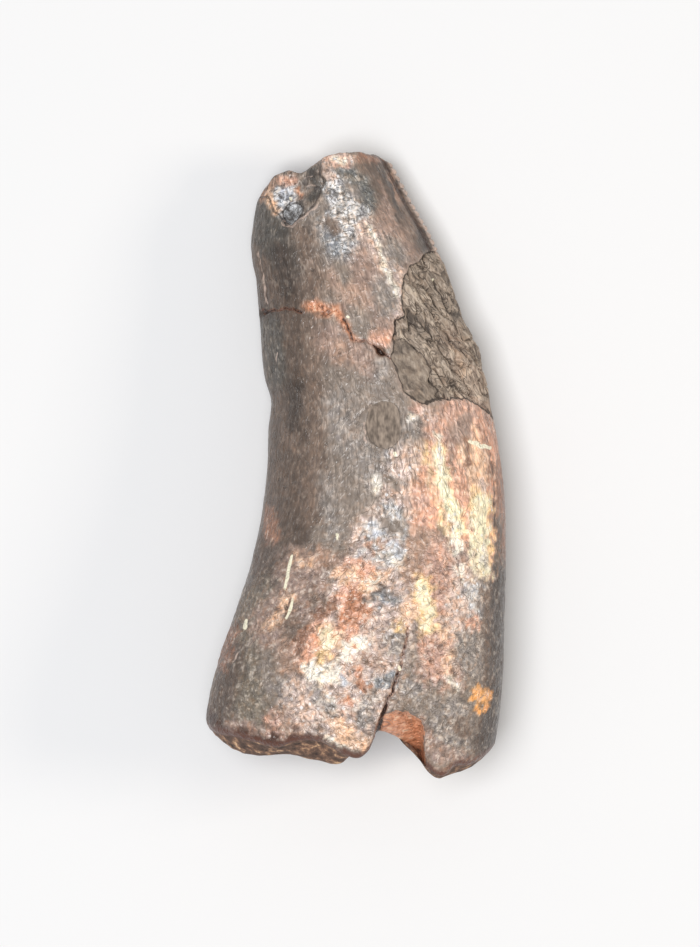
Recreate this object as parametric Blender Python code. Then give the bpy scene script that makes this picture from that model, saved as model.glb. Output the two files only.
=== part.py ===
"""Fossil tyrannosaur tooth: one curved crown lying on its side, broken across its base and at its tip.

Plan sizes are in millimetres until the mesh is made. X runs towards the convex cutting edge, Y towards
the tip, and Z up from the surface that the tooth rests on. The near side is the one that faces up.
"""
import math

import bpy
import numpy as np
from mathutils import noise

MM = 0.001

# Fineness of the mesh: rings along the crown, columns around it, loops across each break.
RINGS = 230
COLUMNS = 240
CAP_LOOPS = 26
TRIANGLES = 9200
MEETING_ROUNDS = 14

# The two long edges, seen from above: (y, x).
CONVEX_EDGE = ((-21.5, 9.2), (-18.7, 9.35), (-17.4, 9.55), (-15.3, 9.76), (-9.3, 9.98), (-3.5, 10.05),
               (0.8, 9.65), (4.2, 9.05), (6.2, 8.55), (7.7, 8.3), (8.9, 7.67), (10.9, 6.86),
               (14.3, 5.65), (15.6, 5.05), (17.6, 3.9), (19.0, 3.2), (20.3, 2.5), (21.5, 1.9))
CONCAVE_EDGE = ((-21.5, -10.45), (-18.0, -10.25), (-16.0, -10.0), (-13.3, -9.35), (-10.0, -8.2),
                (-6.6, -7.1), (-3.2, -6.35), (0.1, -6.05), (2.4, -5.95), (4.4, -5.8), (5.7, -6.2),
                (8.9, -6.5), (12.2, -6.75), (14.9, -7.15), (17.6, -6.8), (21.5, -6.3))
# The two breaks, seen from above, the enamel's edge above the base break, and the hidden far side: (x, y).
TIP_LINE = ((-7.6, 17.0), (-6.6, 18.5), (-6.05, 19.35), (-5.0, 19.95), (-4.4, 20.0), (-4.0, 19.8),
            (-2.4, 20.55), (-1.4, 20.85), (-0.4, 21.05), (1.3, 21.2), (2.15, 21.2), (3.4, 20.9))
BASE_LINE = ((-10.6, -17.0), (-10.1, -17.7), (-9.2, -18.5), (-7.7, -19.3), (-4.3, -19.35),
             (-2.6, -19.75), (-1.0, -19.85), (-0.2, -19.1), (0.55, -19.2), (0.85, -18.85), (1.2, -17.9),
             (1.75, -17.75), (2.2, -17.9), (3.2, -18.65), (4.1, -19.5), (4.6, -20.3), (5.4, -20.9),
             (6.05, -20.75), (8.1, -20.0), (9.0, -19.2), (9.7, -18.4))
ENAMEL_RIM = ((-10.6, -17.0), (-9.8, -17.7), (-8.3, -18.0), (-6.9, -18.3), (-5.3, -18.65), (-4.0, -18.25),
              (-2.2, -18.35), (-1.3, -18.85), (0.5, -19.15), (0.85, -18.75), (1.2, -17.95), (2.2, -17.85),
              (3.2, -18.6), (4.1, -19.5), (4.9, -20.25), (6.0, -20.5), (6.4, -20.0), (7.5, -19.9),
              (8.8, -19.1), (9.7, -18.4))
FAR_BASE_LINE = ((-10.6, -17.0), (-9.0, -17.9), (-5.0, -18.5), (-2.0, -18.3), (1.7, -17.3),
                 (4.0, -18.2), (6.5, -19.5), (8.5, -19.2), (9.7, -18.4))

# Thickness of the crown up from the rest surface: (y, z). Its oval section is widest at the carina.
CREST_HEIGHT = ((-21.5, 12.3), (-14.0, 13.2), (-8.0, 12.6), (0.0, 11.2), (8.0, 9.6), (14.0, 8.2),
                (18.5, 7.0), (21.5, 6.2))
CARINA_SHARE = 0.47
CREST_SHIFT = 0.07
BASE_POINTEDNESS = 0.96
TIP_POINTEDNESS = 1.25
ROUND_UP_TO_Y = -12.0
POINTED_FROM_Y = 16.0
LUMP_HEIGHT = 0.07
LUMP_SIZE = 3.2
# The underside rests on a narrow worn flat, a little arched away from the surface at mid-length.
REST_FLAT = 0.2
UNDERSIDE_ARCH = 0.1
ARCH_FROM_Y = 6.0
ARCH_TO_Y = 15.0

# Serrated keel along the convex edge near the tip.
SERRATION_COUNT = 13
SERRATION_FIRST_Y = 14.6
SERRATION_PITCH_Y = 0.483
SERRATION_GAP = 0.6
KEEL_HEIGHT = 0.42
KEEL_HALF_WIDTH = 0.5
KEEL_FADE = 1.6

# Rough spalled patch beside the convex edge: (x, y).
SPALLED_PATCH = ((5.9, 14.9), (4.8, 14.3), (4.3, 13.7), (3.6, 13.3), (3.2, 12.6), (3.0, 11.9), (3.0, 11.0),
                 (3.2, 10.0), (2.6, 9.6), (2.4, 8.1), (2.3, 7.0), (2.8, 5.8), (3.1, 4.8), (4.3, 4.0),
                 (5.6, 4.3), (7.3, 4.4), (8.3, 3.9), (9.0, 3.3), (9.6, 2.8), (14.0, 2.8), (14.0, 14.9))
PATCH_DEPTH = 0.36
PATCH_ROUGHNESS = 0.2
PATCH_FEATHER = 1.3
PATCH_LUMP = 1.4
STREAK_SIZE = 0.7
STREAK_STRETCH = 2.9
STREAK_TURN = math.radians(-56.5)

# Chip out of the tip's near side, with a pit in its floor: (x, y).
CHIP_SCAR = ((-7.2, 18.0), (-6.1, 19.3), (-4.9, 20.5), (-2.4, 21.1), (-2.3, 19.4), (-2.0, 19.1),
             (-2.3, 18.4), (-2.75, 17.35), (-3.35, 16.8), (-3.85, 16.4), (-4.3, 15.9), (-4.8, 15.9),
             (-5.3, 16.8), (-5.65, 17.0), (-6.0, 18.0))
SCAR_STEP = 0.3
SCAR_DEPTH = 0.75
SCAR_REACH = 1.6
SCAR_PIT = (-4.3, 17.0)
SCAR_PIT_RADIUS = 0.65
SCAR_PIT_DEPTH = 0.4

# Cracks on each side, and the thin flakes lost between and below them: (x, y).
NEAR_CRACKS = (((-7.2, 10.25), (-5.7, 10.4), (-4.9, 10.5), (-4.4, 10.6), (-3.7, 10.2), (-3.2, 10.5)),
               ((-0.9, 9.7), (-0.55, 9.0), (-0.3, 8.3), (0.6, 8.25), (1.1, 7.9), (1.6, 7.5), (2.3, 7.1)),
               ((3.4, -11.0), (3.2, -12.0), (3.0, -13.2), (2.4, -14.8), (1.8, -16.4), (1.3, -17.8)))
FAR_CRACKS = (((-7.2, 10.25), (-5.5, 9.9), (-3.6, 9.2), (-1.4, 9.5), (0.8, 8.7)),
              ((3.6, -19.5), (3.0, -15.0), (3.4, -10.5), (2.7, -6.0)))
CRACK_HALF_WIDTH = 0.16
CRACK_DEPTH = 0.35
CRACK_PIT = (1.6, 7.5)
CRACK_PIT_RADIUS = 0.32
PLATE_FLAKE = ((-3.3, 10.6), (-2.6, 11.1), (-2.2, 10.8), (-1.6, 11.0), (-0.9, 10.7), (-0.8, 9.8),
               (-1.6, 9.7), (-2.4, 9.9), (-3.0, 10.1))
ENAMEL_FLAKE = ((-1.7, -7.1), (-0.7, -6.5), (0.6, -6.7), (1.5, -7.3), (1.1, -8.1), (-0.3, -9.2),
                (-0.5, -10.6), (-1.2, -12.2), (-2.6, -12.7), (-3.3, -12.0), (-2.6, -10.2), (-2.7, -8.3))
FLAKE_DEPTH = 0.12
BREAK_EDGE = 0.15

# Sloping facet that the notch in the base leaves on the near side: (x, y).
NOTCH_FACET = ((0.9, -19.6), (1.3, -17.4), (1.6, -16.75), (1.9, -16.4), (2.7, -16.2), (3.3, -16.3),
               (3.85, -16.6), (4.3, -16.95), (4.45, -17.5), (4.4, -18.2), (4.5, -19.2), (4.7, -21.5))
NOTCH_TOP_Y = -16.2
NOTCH_STEP = 0.4
NOTCH_SLOPE = 1.1

# The broken base drops from the enamel's edge to its lowest line, then rises to its far side.
BASE_HALF_WIDTH = 10.0
BREAK_DROP = 2.6
FAR_FROM = 0.8
FAR_TO = 2.4
BREAK_ROUGHNESS = 0.28
FINE_LUMP = 1.1
COARSE_LUMP = 2.6
HOLLOW_DEPTH = 1.5
HOLLOW_HALF_WIDTH = 5.2
HOLLOW_HALF_HEIGHT = 3.0
HOLLOW_FLOOR = 0.55
FAR_TIP_FALL = 1.1
EDGE_WEAR = 0.22

FOSSIL_BROWN = (0.29, 0.235, 0.195, 1.0)


def smooth_curve(points, at):
    """Smooth curve through points, read at the given places along its first coordinate."""
    knots, values = np.array(points).T
    slopes = np.gradient(values, knots)
    piece = np.clip(np.searchsorted(knots, at) - 1, 0, len(knots) - 2)
    span = knots[piece + 1] - knots[piece]
    share = np.clip((at - knots[piece]) / span, 0.0, 1.0)
    rest = 1.0 - share
    start = values[piece] * (1.0 + 2.0 * share) + slopes[piece] * span * share
    end = values[piece + 1] * (1.0 + 2.0 * rest) - slopes[piece + 1] * span * rest
    return start * rest ** 2 + end * share ** 2


def ramp(low, high, value):
    """0 below low, 1 above high, and a soft step between them."""
    share = np.clip((value - low) / (high - low), 0.0, 1.0)
    return share * share * (3.0 - 2.0 * share)


def segment_distance(x, y, start, end):
    """Distance from each place to one straight segment."""
    run = end[0] - start[0]
    rise = end[1] - start[1]
    share = np.clip(((x - start[0]) * run + (y - start[1]) * rise) / (run * run + rise * rise), 0.0, 1.0)
    return np.hypot(x - start[0] - share * run, y - start[1] - share * rise)


def line_distance(x, y, line):
    """Distance from each place to an open line."""
    return np.min([segment_distance(x, y, start, end) for start, end in zip(line, line[1:])], axis=0)


def inside(x, y, outline, low, high):
    """Soft mask of a closed outline, rising from low to high as the distance in from its edge grows."""
    within = np.zeros(np.shape(x), dtype=bool)
    for start, end in zip(outline, outline[1:] + outline[:1]):
        if start[1] != end[1]:
            edge_x = start[0] + (y - start[1]) / (end[1] - start[1]) * (end[0] - start[0])
            within ^= ((start[1] > y) != (end[1] > y)) & (x < edge_x)
    distance = line_distance(x, y, outline + outline[:1])
    return ramp(low, high, np.where(within, distance, -distance))


def round_pit(x, y, centre, radius):
    """1 in the middle of a round pit and 0 outside it."""
    return 1.0 - ramp(0.4 * radius, 1.3 * radius, np.hypot(x - centre[0], y - centre[1]))


def grain(x, y, z, size, seed):
    """Smooth seeded noise from -1 to 1 whose lumps are about size millimetres across."""
    places = np.stack(np.broadcast_arrays(x, y, z), axis=-1).reshape(-1, 3) / size + seed * 7.31
    values = np.array([noise.noise(place) for place in places.tolist()])
    return values.reshape(np.broadcast_shapes(np.shape(x), np.shape(y), np.shape(z)))


def crest_height(y):
    """Height of the section's top, before the worn flat is taken off its underside."""
    return smooth_curve(CREST_HEIGHT, y) + REST_FLAT


def keel_setback(y):
    """How far the body lies behind the keel's crest, easing out below the last serration."""
    return KEEL_HEIGHT * ramp(SERRATION_FIRST_Y - KEEL_FADE, SERRATION_FIRST_Y, y)


def keel_crest(y):
    """How far the keel stands out of the body, cut into rounded serrations up to the tip."""
    gap_below = SERRATION_FIRST_Y - SERRATION_PITCH_Y / 2.0
    last = SERRATION_FIRST_Y + SERRATION_PITCH_Y * (SERRATION_COUNT - 1)
    round_top = np.sqrt(np.abs(np.cos(math.pi * (y - SERRATION_FIRST_Y) / SERRATION_PITCH_Y)))
    height = np.where(y > gap_below, 1.0 - SERRATION_GAP * (1.0 - round_top), 1.0)
    return keel_setback(y) * height * (1.0 - ramp(last, last + SERRATION_PITCH_Y, y))


def plain_section(y, angle):
    """The unworn oval section: its place and its outward direction at each angle."""
    convex = smooth_curve(CONVEX_EDGE, y) - keel_setback(y)
    concave = smooth_curve(CONCAVE_EDGE, y)
    half_width = (convex - concave) / 2.0
    carina = crest_height(y) * CARINA_SHARE
    upward = np.sin(angle)
    outward = np.cos(angle)
    lowest = UNDERSIDE_ARCH * (1.0 - ramp(ARCH_FROM_Y, ARCH_TO_Y, np.abs(y)))
    half_height = np.where(upward > 0.0, crest_height(y) - carina, carina - lowest)
    pointed = ramp(ROUND_UP_TO_Y, POINTED_FROM_Y, y)
    rise = np.abs(upward) ** (BASE_POINTEDNESS + (TIP_POINTEDNESS - BASE_POINTEDNESS) * pointed)
    x = (convex + concave) / 2.0 + half_width * (outward + CREST_SHIFT * upward ** 2)
    z = carina + half_height * np.sign(upward) * rise
    length = np.hypot(outward / half_width, upward / half_height)
    return x, z, outward / half_width / length, upward / half_height / length


def crack_depth(x, y, lines):
    """Depth of the grooves along some cracks."""
    distance = np.min([line_distance(x, y, line) for line in lines], axis=0)
    return CRACK_DEPTH * (1.0 - ramp(0.3 * CRACK_HALF_WIDTH, 1.6 * CRACK_HALF_WIDTH, distance))


def patch_depth(x, y, z):
    """Depth of the spalled patch, with its rough floor, running out at the cutting edge."""
    feather = ramp(0.0, PATCH_FEATHER, smooth_curve(CONVEX_EDGE, y) - x)
    along = x * math.cos(STREAK_TURN) + y * math.sin(STREAK_TURN)
    across = x * math.sin(STREAK_TURN) - y * math.cos(STREAK_TURN)
    streaks = grain(across, along / STREAK_STRETCH, z / STREAK_STRETCH, STREAK_SIZE, 1.0)
    lumps = grain(x, y, z, PATCH_LUMP, 2.0)
    depth = PATCH_DEPTH * feather + PATCH_ROUGHNESS * (0.5 + 0.5 * feather) * (streaks + lumps)
    return depth * inside(x, y, SPALLED_PATCH, -0.06, BREAK_EDGE)


def chip_depth(x, y):
    """Depth of the chips and flakes that are cut straight down into the near side."""
    scar = SCAR_STEP * inside(x, y, CHIP_SCAR, -0.05, BREAK_EDGE)
    scar = scar + SCAR_DEPTH * inside(x, y, CHIP_SCAR, 0.0, SCAR_REACH)
    scar = scar + SCAR_PIT_DEPTH * round_pit(x, y, SCAR_PIT, SCAR_PIT_RADIUS)
    notch = NOTCH_STEP + NOTCH_SLOPE * np.clip(NOTCH_TOP_Y - y, 0.0, None)
    notch = notch * inside(x, y, NOTCH_FACET, -0.05, BREAK_EDGE)
    flakes = inside(x, y, ENAMEL_FLAKE, -0.05, BREAK_EDGE) + inside(x, y, PLATE_FLAKE, -0.05, BREAK_EDGE)
    return scar + notch + FLAKE_DEPTH * flakes + CRACK_DEPTH * round_pit(x, y, CRACK_PIT, CRACK_PIT_RADIUS)


def skin(y, angle, from_break):
    """The tooth's surface at each height and angle, from_break away from the nearer broken end."""
    x, z, normal_x, normal_z = plain_section(y, angle)
    upward = np.sin(angle)
    near = ramp(0.0, 0.12, upward)
    far = ramp(0.0, 0.12, -upward)
    round_convex_edge = ramp(-0.45, -0.1, upward) * ramp(0.0, 0.3, np.cos(angle))
    depth = near * crack_depth(x, y, NEAR_CRACKS) + far * crack_depth(x, y, FAR_CRACKS)
    depth = depth + np.maximum(near, round_convex_edge) * patch_depth(x, y, z)
    depth = depth + EDGE_WEAR * np.exp(-from_break / EDGE_WEAR)
    depth = depth - LUMP_HEIGHT * grain(x, y, z, LUMP_SIZE, 3.0)
    off_keel = (z - crest_height(y) * CARINA_SHARE) / KEEL_HALF_WIDTH
    keel = keel_crest(y) * np.exp(-off_keel ** 2) * (np.cos(angle) > 0.0)
    x = x - normal_x * depth + keel
    z = z - normal_z * depth - near * chip_depth(x, y)
    return x, np.maximum(z, REST_FLAT) - REST_FLAT


def base_break(x, z):
    """Height y of the broken base: set back under the enamel's edge, notched, rough and a little hollow."""
    enamel = smooth_curve(ENAMEL_RIM, x)
    lowest = smooth_curve(BASE_LINE, x)
    crest = smooth_curve(CREST_HEIGHT, lowest)
    middle = crest * CARINA_SHARE
    near_face = middle + (crest - middle) * np.sqrt(np.clip(1.0 - (x / BASE_HALF_WIDTH) ** 2, 0.0, 1.0))
    drop = ramp(0.0, BREAK_DROP, near_face - z)
    far = ramp(FAR_FROM * BREAK_DROP, FAR_TO * BREAK_DROP, near_face - z)
    y = enamel + (lowest - enamel) * drop
    y = y + (smooth_curve(FAR_BASE_LINE, x) - y) * far
    reach = np.hypot(x / HOLLOW_HALF_WIDTH, (z - middle) / HOLLOW_HALF_HEIGHT)
    y = y + HOLLOW_DEPTH * (1.0 - ramp(HOLLOW_FLOOR, 1.0, reach))
    rough = grain(x, 0.0, z, FINE_LUMP, 4.0) + grain(x, 0.0, z, COARSE_LUMP, 6.0)
    return y + BREAK_ROUGHNESS * (0.2 * drop + far) * rough


def tip_break(x, z):
    """Height y of the broken tip: highest along the near side and falling away to the far side."""
    highest = smooth_curve(TIP_LINE, x)
    crest = smooth_curve(CREST_HEIGHT, highest)
    fall = FAR_TIP_FALL * np.clip(1.0 - z / crest, 0.0, 1.0) ** 1.5
    return highest - fall + 0.5 * BREAK_ROUGHNESS * grain(x, 0.0, z, FINE_LUMP, 5.0)


def meet(break_height, start, angle):
    """Height at which the sides meet a break, for each angle around the tooth."""
    y = np.full_like(angle, start)
    for _ in range(MEETING_ROUNDS):
        x, z = skin(y, angle, 0.0)
        y = 0.5 * y + 0.5 * break_height(x, z)
    return y


def cap_loops(break_height, x_rim, y_rim, z_rim):
    """Loops from a rim in to the middle of its break, and the middle itself."""
    middle_x = (x_rim.max() + x_rim.min()) / 2.0
    middle_z = (z_rim.max() + z_rim.min()) / 2.0
    misfit = y_rim - break_height(x_rim, z_rim)
    loops = []
    for loop in range(1, CAP_LOOPS):
        share = 1.0 - loop / CAP_LOOPS
        x = middle_x + share * (x_rim - middle_x)
        z = middle_z + share * (z_rim - middle_z)
        loops.append((x, break_height(x, z) + misfit * share ** 8, z))
    middle_y = float(break_height(np.array(middle_x), np.array(middle_z)))
    return loops, (middle_x, middle_y, middle_z)


def ring_faces(ring_count):
    """Quads between neighbouring rings, and a fan of triangles at each end of the stack."""
    beside = [(column + 1) % COLUMNS for column in range(COLUMNS)]
    faces = []
    for ring in range(ring_count - 1):
        below = ring * COLUMNS
        above = below + COLUMNS
        for column in range(COLUMNS):
            faces.append((above + column, above + beside[column], below + beside[column], below + column))
    last = (ring_count - 1) * COLUMNS
    base_middle = ring_count * COLUMNS
    for column in range(COLUMNS):
        faces.append((column, beside[column], base_middle))
        faces.append((last + beside[column], last + column, base_middle + 1))
    return faces


def tooth_mesh():
    """The whole crown as rings between its two breaks, each closed by loops, standing on its box's middle."""
    angle = np.linspace(0.0, 2.0 * math.pi, COLUMNS, endpoint=False)
    base_y = meet(base_break, CONVEX_EDGE[1][0], angle)
    tip_y = meet(tip_break, CONVEX_EDGE[-3][0], angle)
    y = base_y + (tip_y - base_y) * np.linspace(0.0, 1.0, RINGS)[:, None]
    x, z = skin(y, angle[None, :], np.minimum(y - base_y, tip_y - y))
    base, base_middle = cap_loops(base_break, x[0], y[0], z[0])
    tip, tip_middle = cap_loops(tip_break, x[-1], y[-1], z[-1])
    rings = base[::-1] + list(zip(x, y, z)) + tip
    places = np.concatenate([np.stack(ring, axis=-1) for ring in rings] + [[base_middle, tip_middle]])
    low = places.min(axis=0)
    high = places.max(axis=0)
    places = places - ((low[0] + high[0]) / 2.0, (low[1] + high[1]) / 2.0, low[2])
    mesh = bpy.data.meshes.new("tooth")
    mesh.from_pydata((places * MM).tolist(), [], ring_faces(len(rings)))
    mesh.update()
    return mesh


def fossil_material():
    """Brown fossil enamel with a low gloss."""
    material = bpy.data.materials.new("fossil_enamel")
    material.use_nodes = True
    shader = material.node_tree.nodes["Principled BSDF"]
    shader.inputs["Base Color"].default_value = FOSSIL_BROWN
    shader.inputs["Roughness"].default_value = 0.4
    shader.inputs["Metallic"].default_value = 0.0
    return material


def make_tooth(collection):
    """The tooth as one object, thinned to the number of triangles that its shape needs."""
    mesh = tooth_mesh()
    mesh.materials.append(fossil_material())
    mesh.shade_smooth()
    mesh.set_sharp_from_angle(angle=math.radians(35.0))
    tooth = bpy.data.objects.new("tooth", mesh)
    collection.objects.link(tooth)
    thin = tooth.modifiers.new("thin_out", "DECIMATE")
    thin.ratio = TRIANGLES / sum(len(face.vertices) - 2 for face in mesh.polygons)


def main():
    for old in list(bpy.data.objects):
        bpy.data.objects.remove(old, do_unlink=True)
    collection = bpy.data.collections.new("fossil_tooth")
    bpy.context.scene.collection.children.link(collection)
    make_tooth(collection)


main()
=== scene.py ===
"""Looks of a fossil tyrannosaur tooth lying on its side: fine surface form, fossil finish, floor and light.

Sizes of the tooth's features are in millimetres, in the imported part's own frame. X runs towards the convex
cutting edge, Y towards the tip, Z up from the floor. The near side is the one that faces up.
"""

import math

import bpy
import numpy as np
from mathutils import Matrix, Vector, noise


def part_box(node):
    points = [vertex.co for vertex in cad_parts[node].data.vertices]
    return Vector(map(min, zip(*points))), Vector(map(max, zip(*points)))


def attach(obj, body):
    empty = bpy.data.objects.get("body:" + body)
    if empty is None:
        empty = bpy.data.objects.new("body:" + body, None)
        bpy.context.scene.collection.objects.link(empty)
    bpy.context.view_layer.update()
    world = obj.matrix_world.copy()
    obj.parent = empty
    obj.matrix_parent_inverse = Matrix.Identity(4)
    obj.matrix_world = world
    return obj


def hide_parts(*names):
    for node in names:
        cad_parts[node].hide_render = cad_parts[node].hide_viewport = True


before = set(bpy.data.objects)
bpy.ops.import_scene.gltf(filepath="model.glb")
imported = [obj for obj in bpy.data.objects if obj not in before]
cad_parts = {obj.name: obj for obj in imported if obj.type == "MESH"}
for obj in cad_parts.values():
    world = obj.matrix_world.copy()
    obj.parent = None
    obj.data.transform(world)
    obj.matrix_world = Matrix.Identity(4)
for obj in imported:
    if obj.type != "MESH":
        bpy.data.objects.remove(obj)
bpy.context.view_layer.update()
low_corner, high_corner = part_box("tooth")

MM = 0.001

# Camera, the part of the scene it frames, and the floor, in metres; the sensor is in millimetres.
CAMERA_HEIGHT = 0.32
FRAME_TALL = 0.06373
FRAME_LEVEL = 0.006
FRAME_MIDDLE = (-0.0004, -0.0007)
NEAREST_SEEN = 0.01
SENSOR_MM = 36.0
FLOOR_WIDTH = 1.2
FLOOR_GREY = (0.84, 0.84, 0.84, 1.0)
FLOOR_ROUGHNESS = 0.9

# Soft lights: name, direction from the tooth, distance, width, power and colour. Then the pale surrounding.
LIGHTS = (("warm_side", (0.95, 0.05, 0.6), 0.35, 0.08, 0.3, (1.0, 0.9, 0.76)),
          ("soft_top", (-0.15, -0.05, 1.0), 0.45, 0.2, 1.6, (0.99, 0.99, 1.0)))
SURROUNDING = (0.95, 0.97, 1.0, 1.0)
SURROUNDING_STRENGTH = 0.3

# Fineness of the surface: rings along the crown, columns around it, loops across each break, and where they
# crowd together. Then the rounds that find where the sides meet a break, the heights that these start from,
# and the straightened tooth's width.
RINGS = 352
COLUMNS = 244
NEAR_COLUMNS = 172
CAP_LOOPS = 20
TIP_RINGS_SHARE = 0.21
TIP_LENGTH_SHARE = 0.145
CREST_CROWDING = 0.22
MEETING_ROUNDS = 16
BASE_MEETING_Y = -18.7
TIP_MEETING_Y = 19.0
STRAIGHT_HALF_WIDTH = 8.0

# Distances given where there is nothing near, and where a thing is on the other side of the tooth.
NOWHERE_NEAR = 9.0
WELL_AWAY = 3.0

# Seeded noises that shape the surface and its paint: size of their lumps, and seed. Each step of a seed
# reads the noise this much further on.
GRAINS = {
    "lump": (3.2, 3.0), "pimple": (0.5, 11.0), "stria": (0.45, 12.0), "crinkle": (0.6, 13.0),
    "patch edge": (0.5, 9.0), "patch streak": (0.7, 1.0), "patch lump": (1.4, 2.0),
    "patch bend": (0.9, 24.0), "patch crevice": (0.62, 10.0), "chip floor": (0.4, 25.0),
    "jag x": (0.45, 22.0), "jag y": (0.45, 23.0), "ragged": (0.35, 8.0),
    "base coarse": (2.6, 6.0), "base fine": (1.1, 4.0), "base crumb": (0.45, 14.0),
    "tip fine": (1.1, 5.0), "tip crumb": (0.4, 15.0),
    "wander x": (1.2, 16.0), "shiver x": (0.45, 17.0), "wander y": (1.2, 18.0), "shiver y": (0.45, 19.0),
    "paint border": (1.6, 20.0),
}
SEED_STEP = 7.31

# Where the near side begins for each thing, and where it is full, as the sine of the angle round the tooth:
# below 0 is the far side. The patch wraps round the convex edge only, so it starts from the cosine too.
SIDE_BLEND = 0.12
PATCH_WRAP = (-0.45, -0.1)
PATCH_WRAP_START = 0.3
PAINT_WRAP = (-0.45, 0.0)
PAINT_BORDER_WANDER = 0.2

# Soft edges: a cut starts to fall just outside its outline and is down a little way inside it.
EDGE_START = -0.05
BREAK_EDGE = 0.15
THIN_EDGE = 0.1
WIDE_EDGE = 0.3
PATCH_EDGE_START = -0.06

# The two long edges, seen from above: (y, x).
CONVEX_EDGE = ((-21.5, 9.2), (-18.7, 9.35), (-17.4, 9.55), (-15.3, 9.76), (-9.3, 9.98), (-3.5, 10.05),
               (0.8, 9.65), (4.2, 9.05), (6.2, 8.55), (7.7, 8.3), (8.9, 7.67), (10.9, 6.86),
               (14.3, 5.65), (15.6, 5.05), (17.6, 3.9), (19.0, 3.2), (20.3, 2.5), (21.5, 1.9))
CONCAVE_EDGE = ((-21.5, -10.45), (-18.0, -10.25), (-16.0, -10.0), (-13.3, -9.35), (-10.0, -8.2),
                (-6.6, -7.1), (-3.2, -6.35), (0.1, -6.05), (2.4, -5.95), (4.4, -5.8), (5.7, -6.2),
                (8.9, -6.5), (12.2, -6.75), (14.9, -7.15), (17.6, -6.8), (21.5, -6.3))
# The two breaks, seen from above, the enamel's edge above the base break, and the hidden far side: (x, y).
TIP_LINE = ((-7.6, 17.0), (-6.6, 18.5), (-6.05, 19.35), (-5.0, 19.95), (-4.4, 20.0), (-4.0, 19.8),
            (-2.4, 20.55), (-1.4, 20.85), (-0.4, 21.05), (1.3, 21.2), (2.15, 21.2), (3.4, 20.9))
BASE_LINE = ((-10.6, -17.0), (-10.1, -17.7), (-9.2, -18.5), (-7.7, -19.3), (-4.3, -19.35),
             (-2.6, -19.75), (-1.0, -19.85), (-0.2, -19.1), (0.55, -19.2), (0.85, -18.85), (1.2, -17.9),
             (1.75, -17.75), (2.2, -17.9), (3.2, -18.65), (4.1, -19.5), (4.6, -20.3), (5.4, -20.9),
             (6.05, -20.75), (8.1, -20.0), (9.0, -19.2), (9.7, -18.4))
ENAMEL_RIM = ((-10.6, -17.0), (-9.8, -17.7), (-8.3, -18.0), (-6.9, -18.3), (-5.3, -18.65), (-4.0, -18.25),
              (-2.2, -18.35), (-1.3, -18.85), (0.5, -19.15), (0.85, -18.75), (1.2, -17.95), (2.2, -17.85),
              (3.2, -18.6), (4.1, -19.5), (4.9, -20.25), (6.0, -20.5), (6.4, -20.0), (7.5, -19.9),
              (8.8, -19.1), (9.7, -18.4))
FAR_BASE_LINE = ((-10.6, -17.0), (-9.0, -17.9), (-5.0, -18.5), (-2.0, -18.3), (1.7, -17.3),
                 (4.0, -18.2), (6.5, -19.5), (8.5, -19.2), (9.7, -18.4))

# Thickness of the crown up from the floor: (y, z). Its oval section is widest at the carina, and pointedness
# above 1 draws its two edges sharper.
CREST_HEIGHT = ((-21.5, 12.3), (-14.0, 13.2), (-8.0, 12.6), (0.0, 11.2), (8.0, 9.6), (14.0, 8.2),
                (18.5, 7.0), (21.5, 6.2))
CARINA_SHARE = 0.47
CREST_SHIFT = 0.07
BASE_POINTEDNESS = 0.96
TIP_POINTEDNESS = 1.25
ROUND_UP_TO_Y = -12.0
POINTED_FROM_Y = 16.0

# Worn flat that the tooth rests on, and the slight arch that narrows it in the middle.
REST_FLAT = 0.2
UNDERSIDE_ARCH = 0.1
ARCH_FROM_Y = 6.0
ARCH_TO_Y = 15.0

# Fine relief of the enamel: more pimples towards the base, and crinkles towards the tip.
LUMP_HEIGHT = 0.07
PIMPLE_HEIGHT = 0.012
BASE_PIMPLE_HEIGHT = 0.03
STRIA_HEIGHT = 0.02
STRIA_STRETCH = 8.0
CRINKLE_HEIGHT = 0.06
CRINKLE_STRETCH = 1.8
CRINKLE_TOP = 0.25
CRINKLES_START_Y = 6.0
CRINKLES_FULL_Y = 12.0
PIMPLES_FADE_Y = -9.0
PIMPLES_GONE_Y = -3.0

# Serrated keel along the convex edge near the tip.
SERRATION_COUNT = 13
SERRATION_FIRST_Y = 14.6
SERRATION_PITCH_Y = 0.483
SERRATION_GAP = 0.6
KEEL_HEIGHT = 0.42
KEEL_HALF_WIDTH = 0.5
KEEL_FADE = 1.6
KEEL_SEEN_FROM = 0.02
KEEL_GROOVE_DEPTH = 0.1
KEEL_GROOVE_INNER = (0.9, 1.3)
KEEL_GROOVE_OUTER = (1.7, 2.6)

# Rough spalled patch beside the convex edge, and the smoother flap inside it: (x, y).
SPALLED_PATCH = ((5.9, 14.9), (4.8, 14.3), (4.3, 13.7), (3.6, 13.3), (3.2, 12.6), (3.0, 11.9), (3.0, 11.0),
                 (3.2, 10.0), (2.6, 9.6), (2.4, 8.1), (2.3, 7.0), (2.8, 5.8), (3.1, 4.8), (4.3, 4.0),
                 (5.6, 4.3), (7.3, 4.4), (8.3, 3.9), (9.0, 3.3), (9.6, 2.8), (14.0, 2.8), (14.0, 14.9))
PATCH_FLAP = ((2.2, 8.4), (3.3, 8.3), (4.0, 7.7), (4.7, 7.1), (5.1, 6.3), (4.9, 5.6), (5.6, 4.9),
              (5.0, 3.6), (2.0, 3.6))
PATCH_DEPTH = 0.36
PATCH_ROUGHNESS = 0.16
PATCH_RAGGEDNESS = 0.12
PATCH_SMOOTHS_RELIEF = 0.8
PATCH_FEATHER = 1.3
FLAP_HEIGHT = 0.12
FLAP_EDGE = 0.12
FLAP_GROOVE = 0.12
FLAP_SMOOTHNESS = 0.75
STREAK_STRETCH = 2.9
STREAK_TURN = math.radians(-56.5)
CREVICE_STRETCH = 2.6
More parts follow.
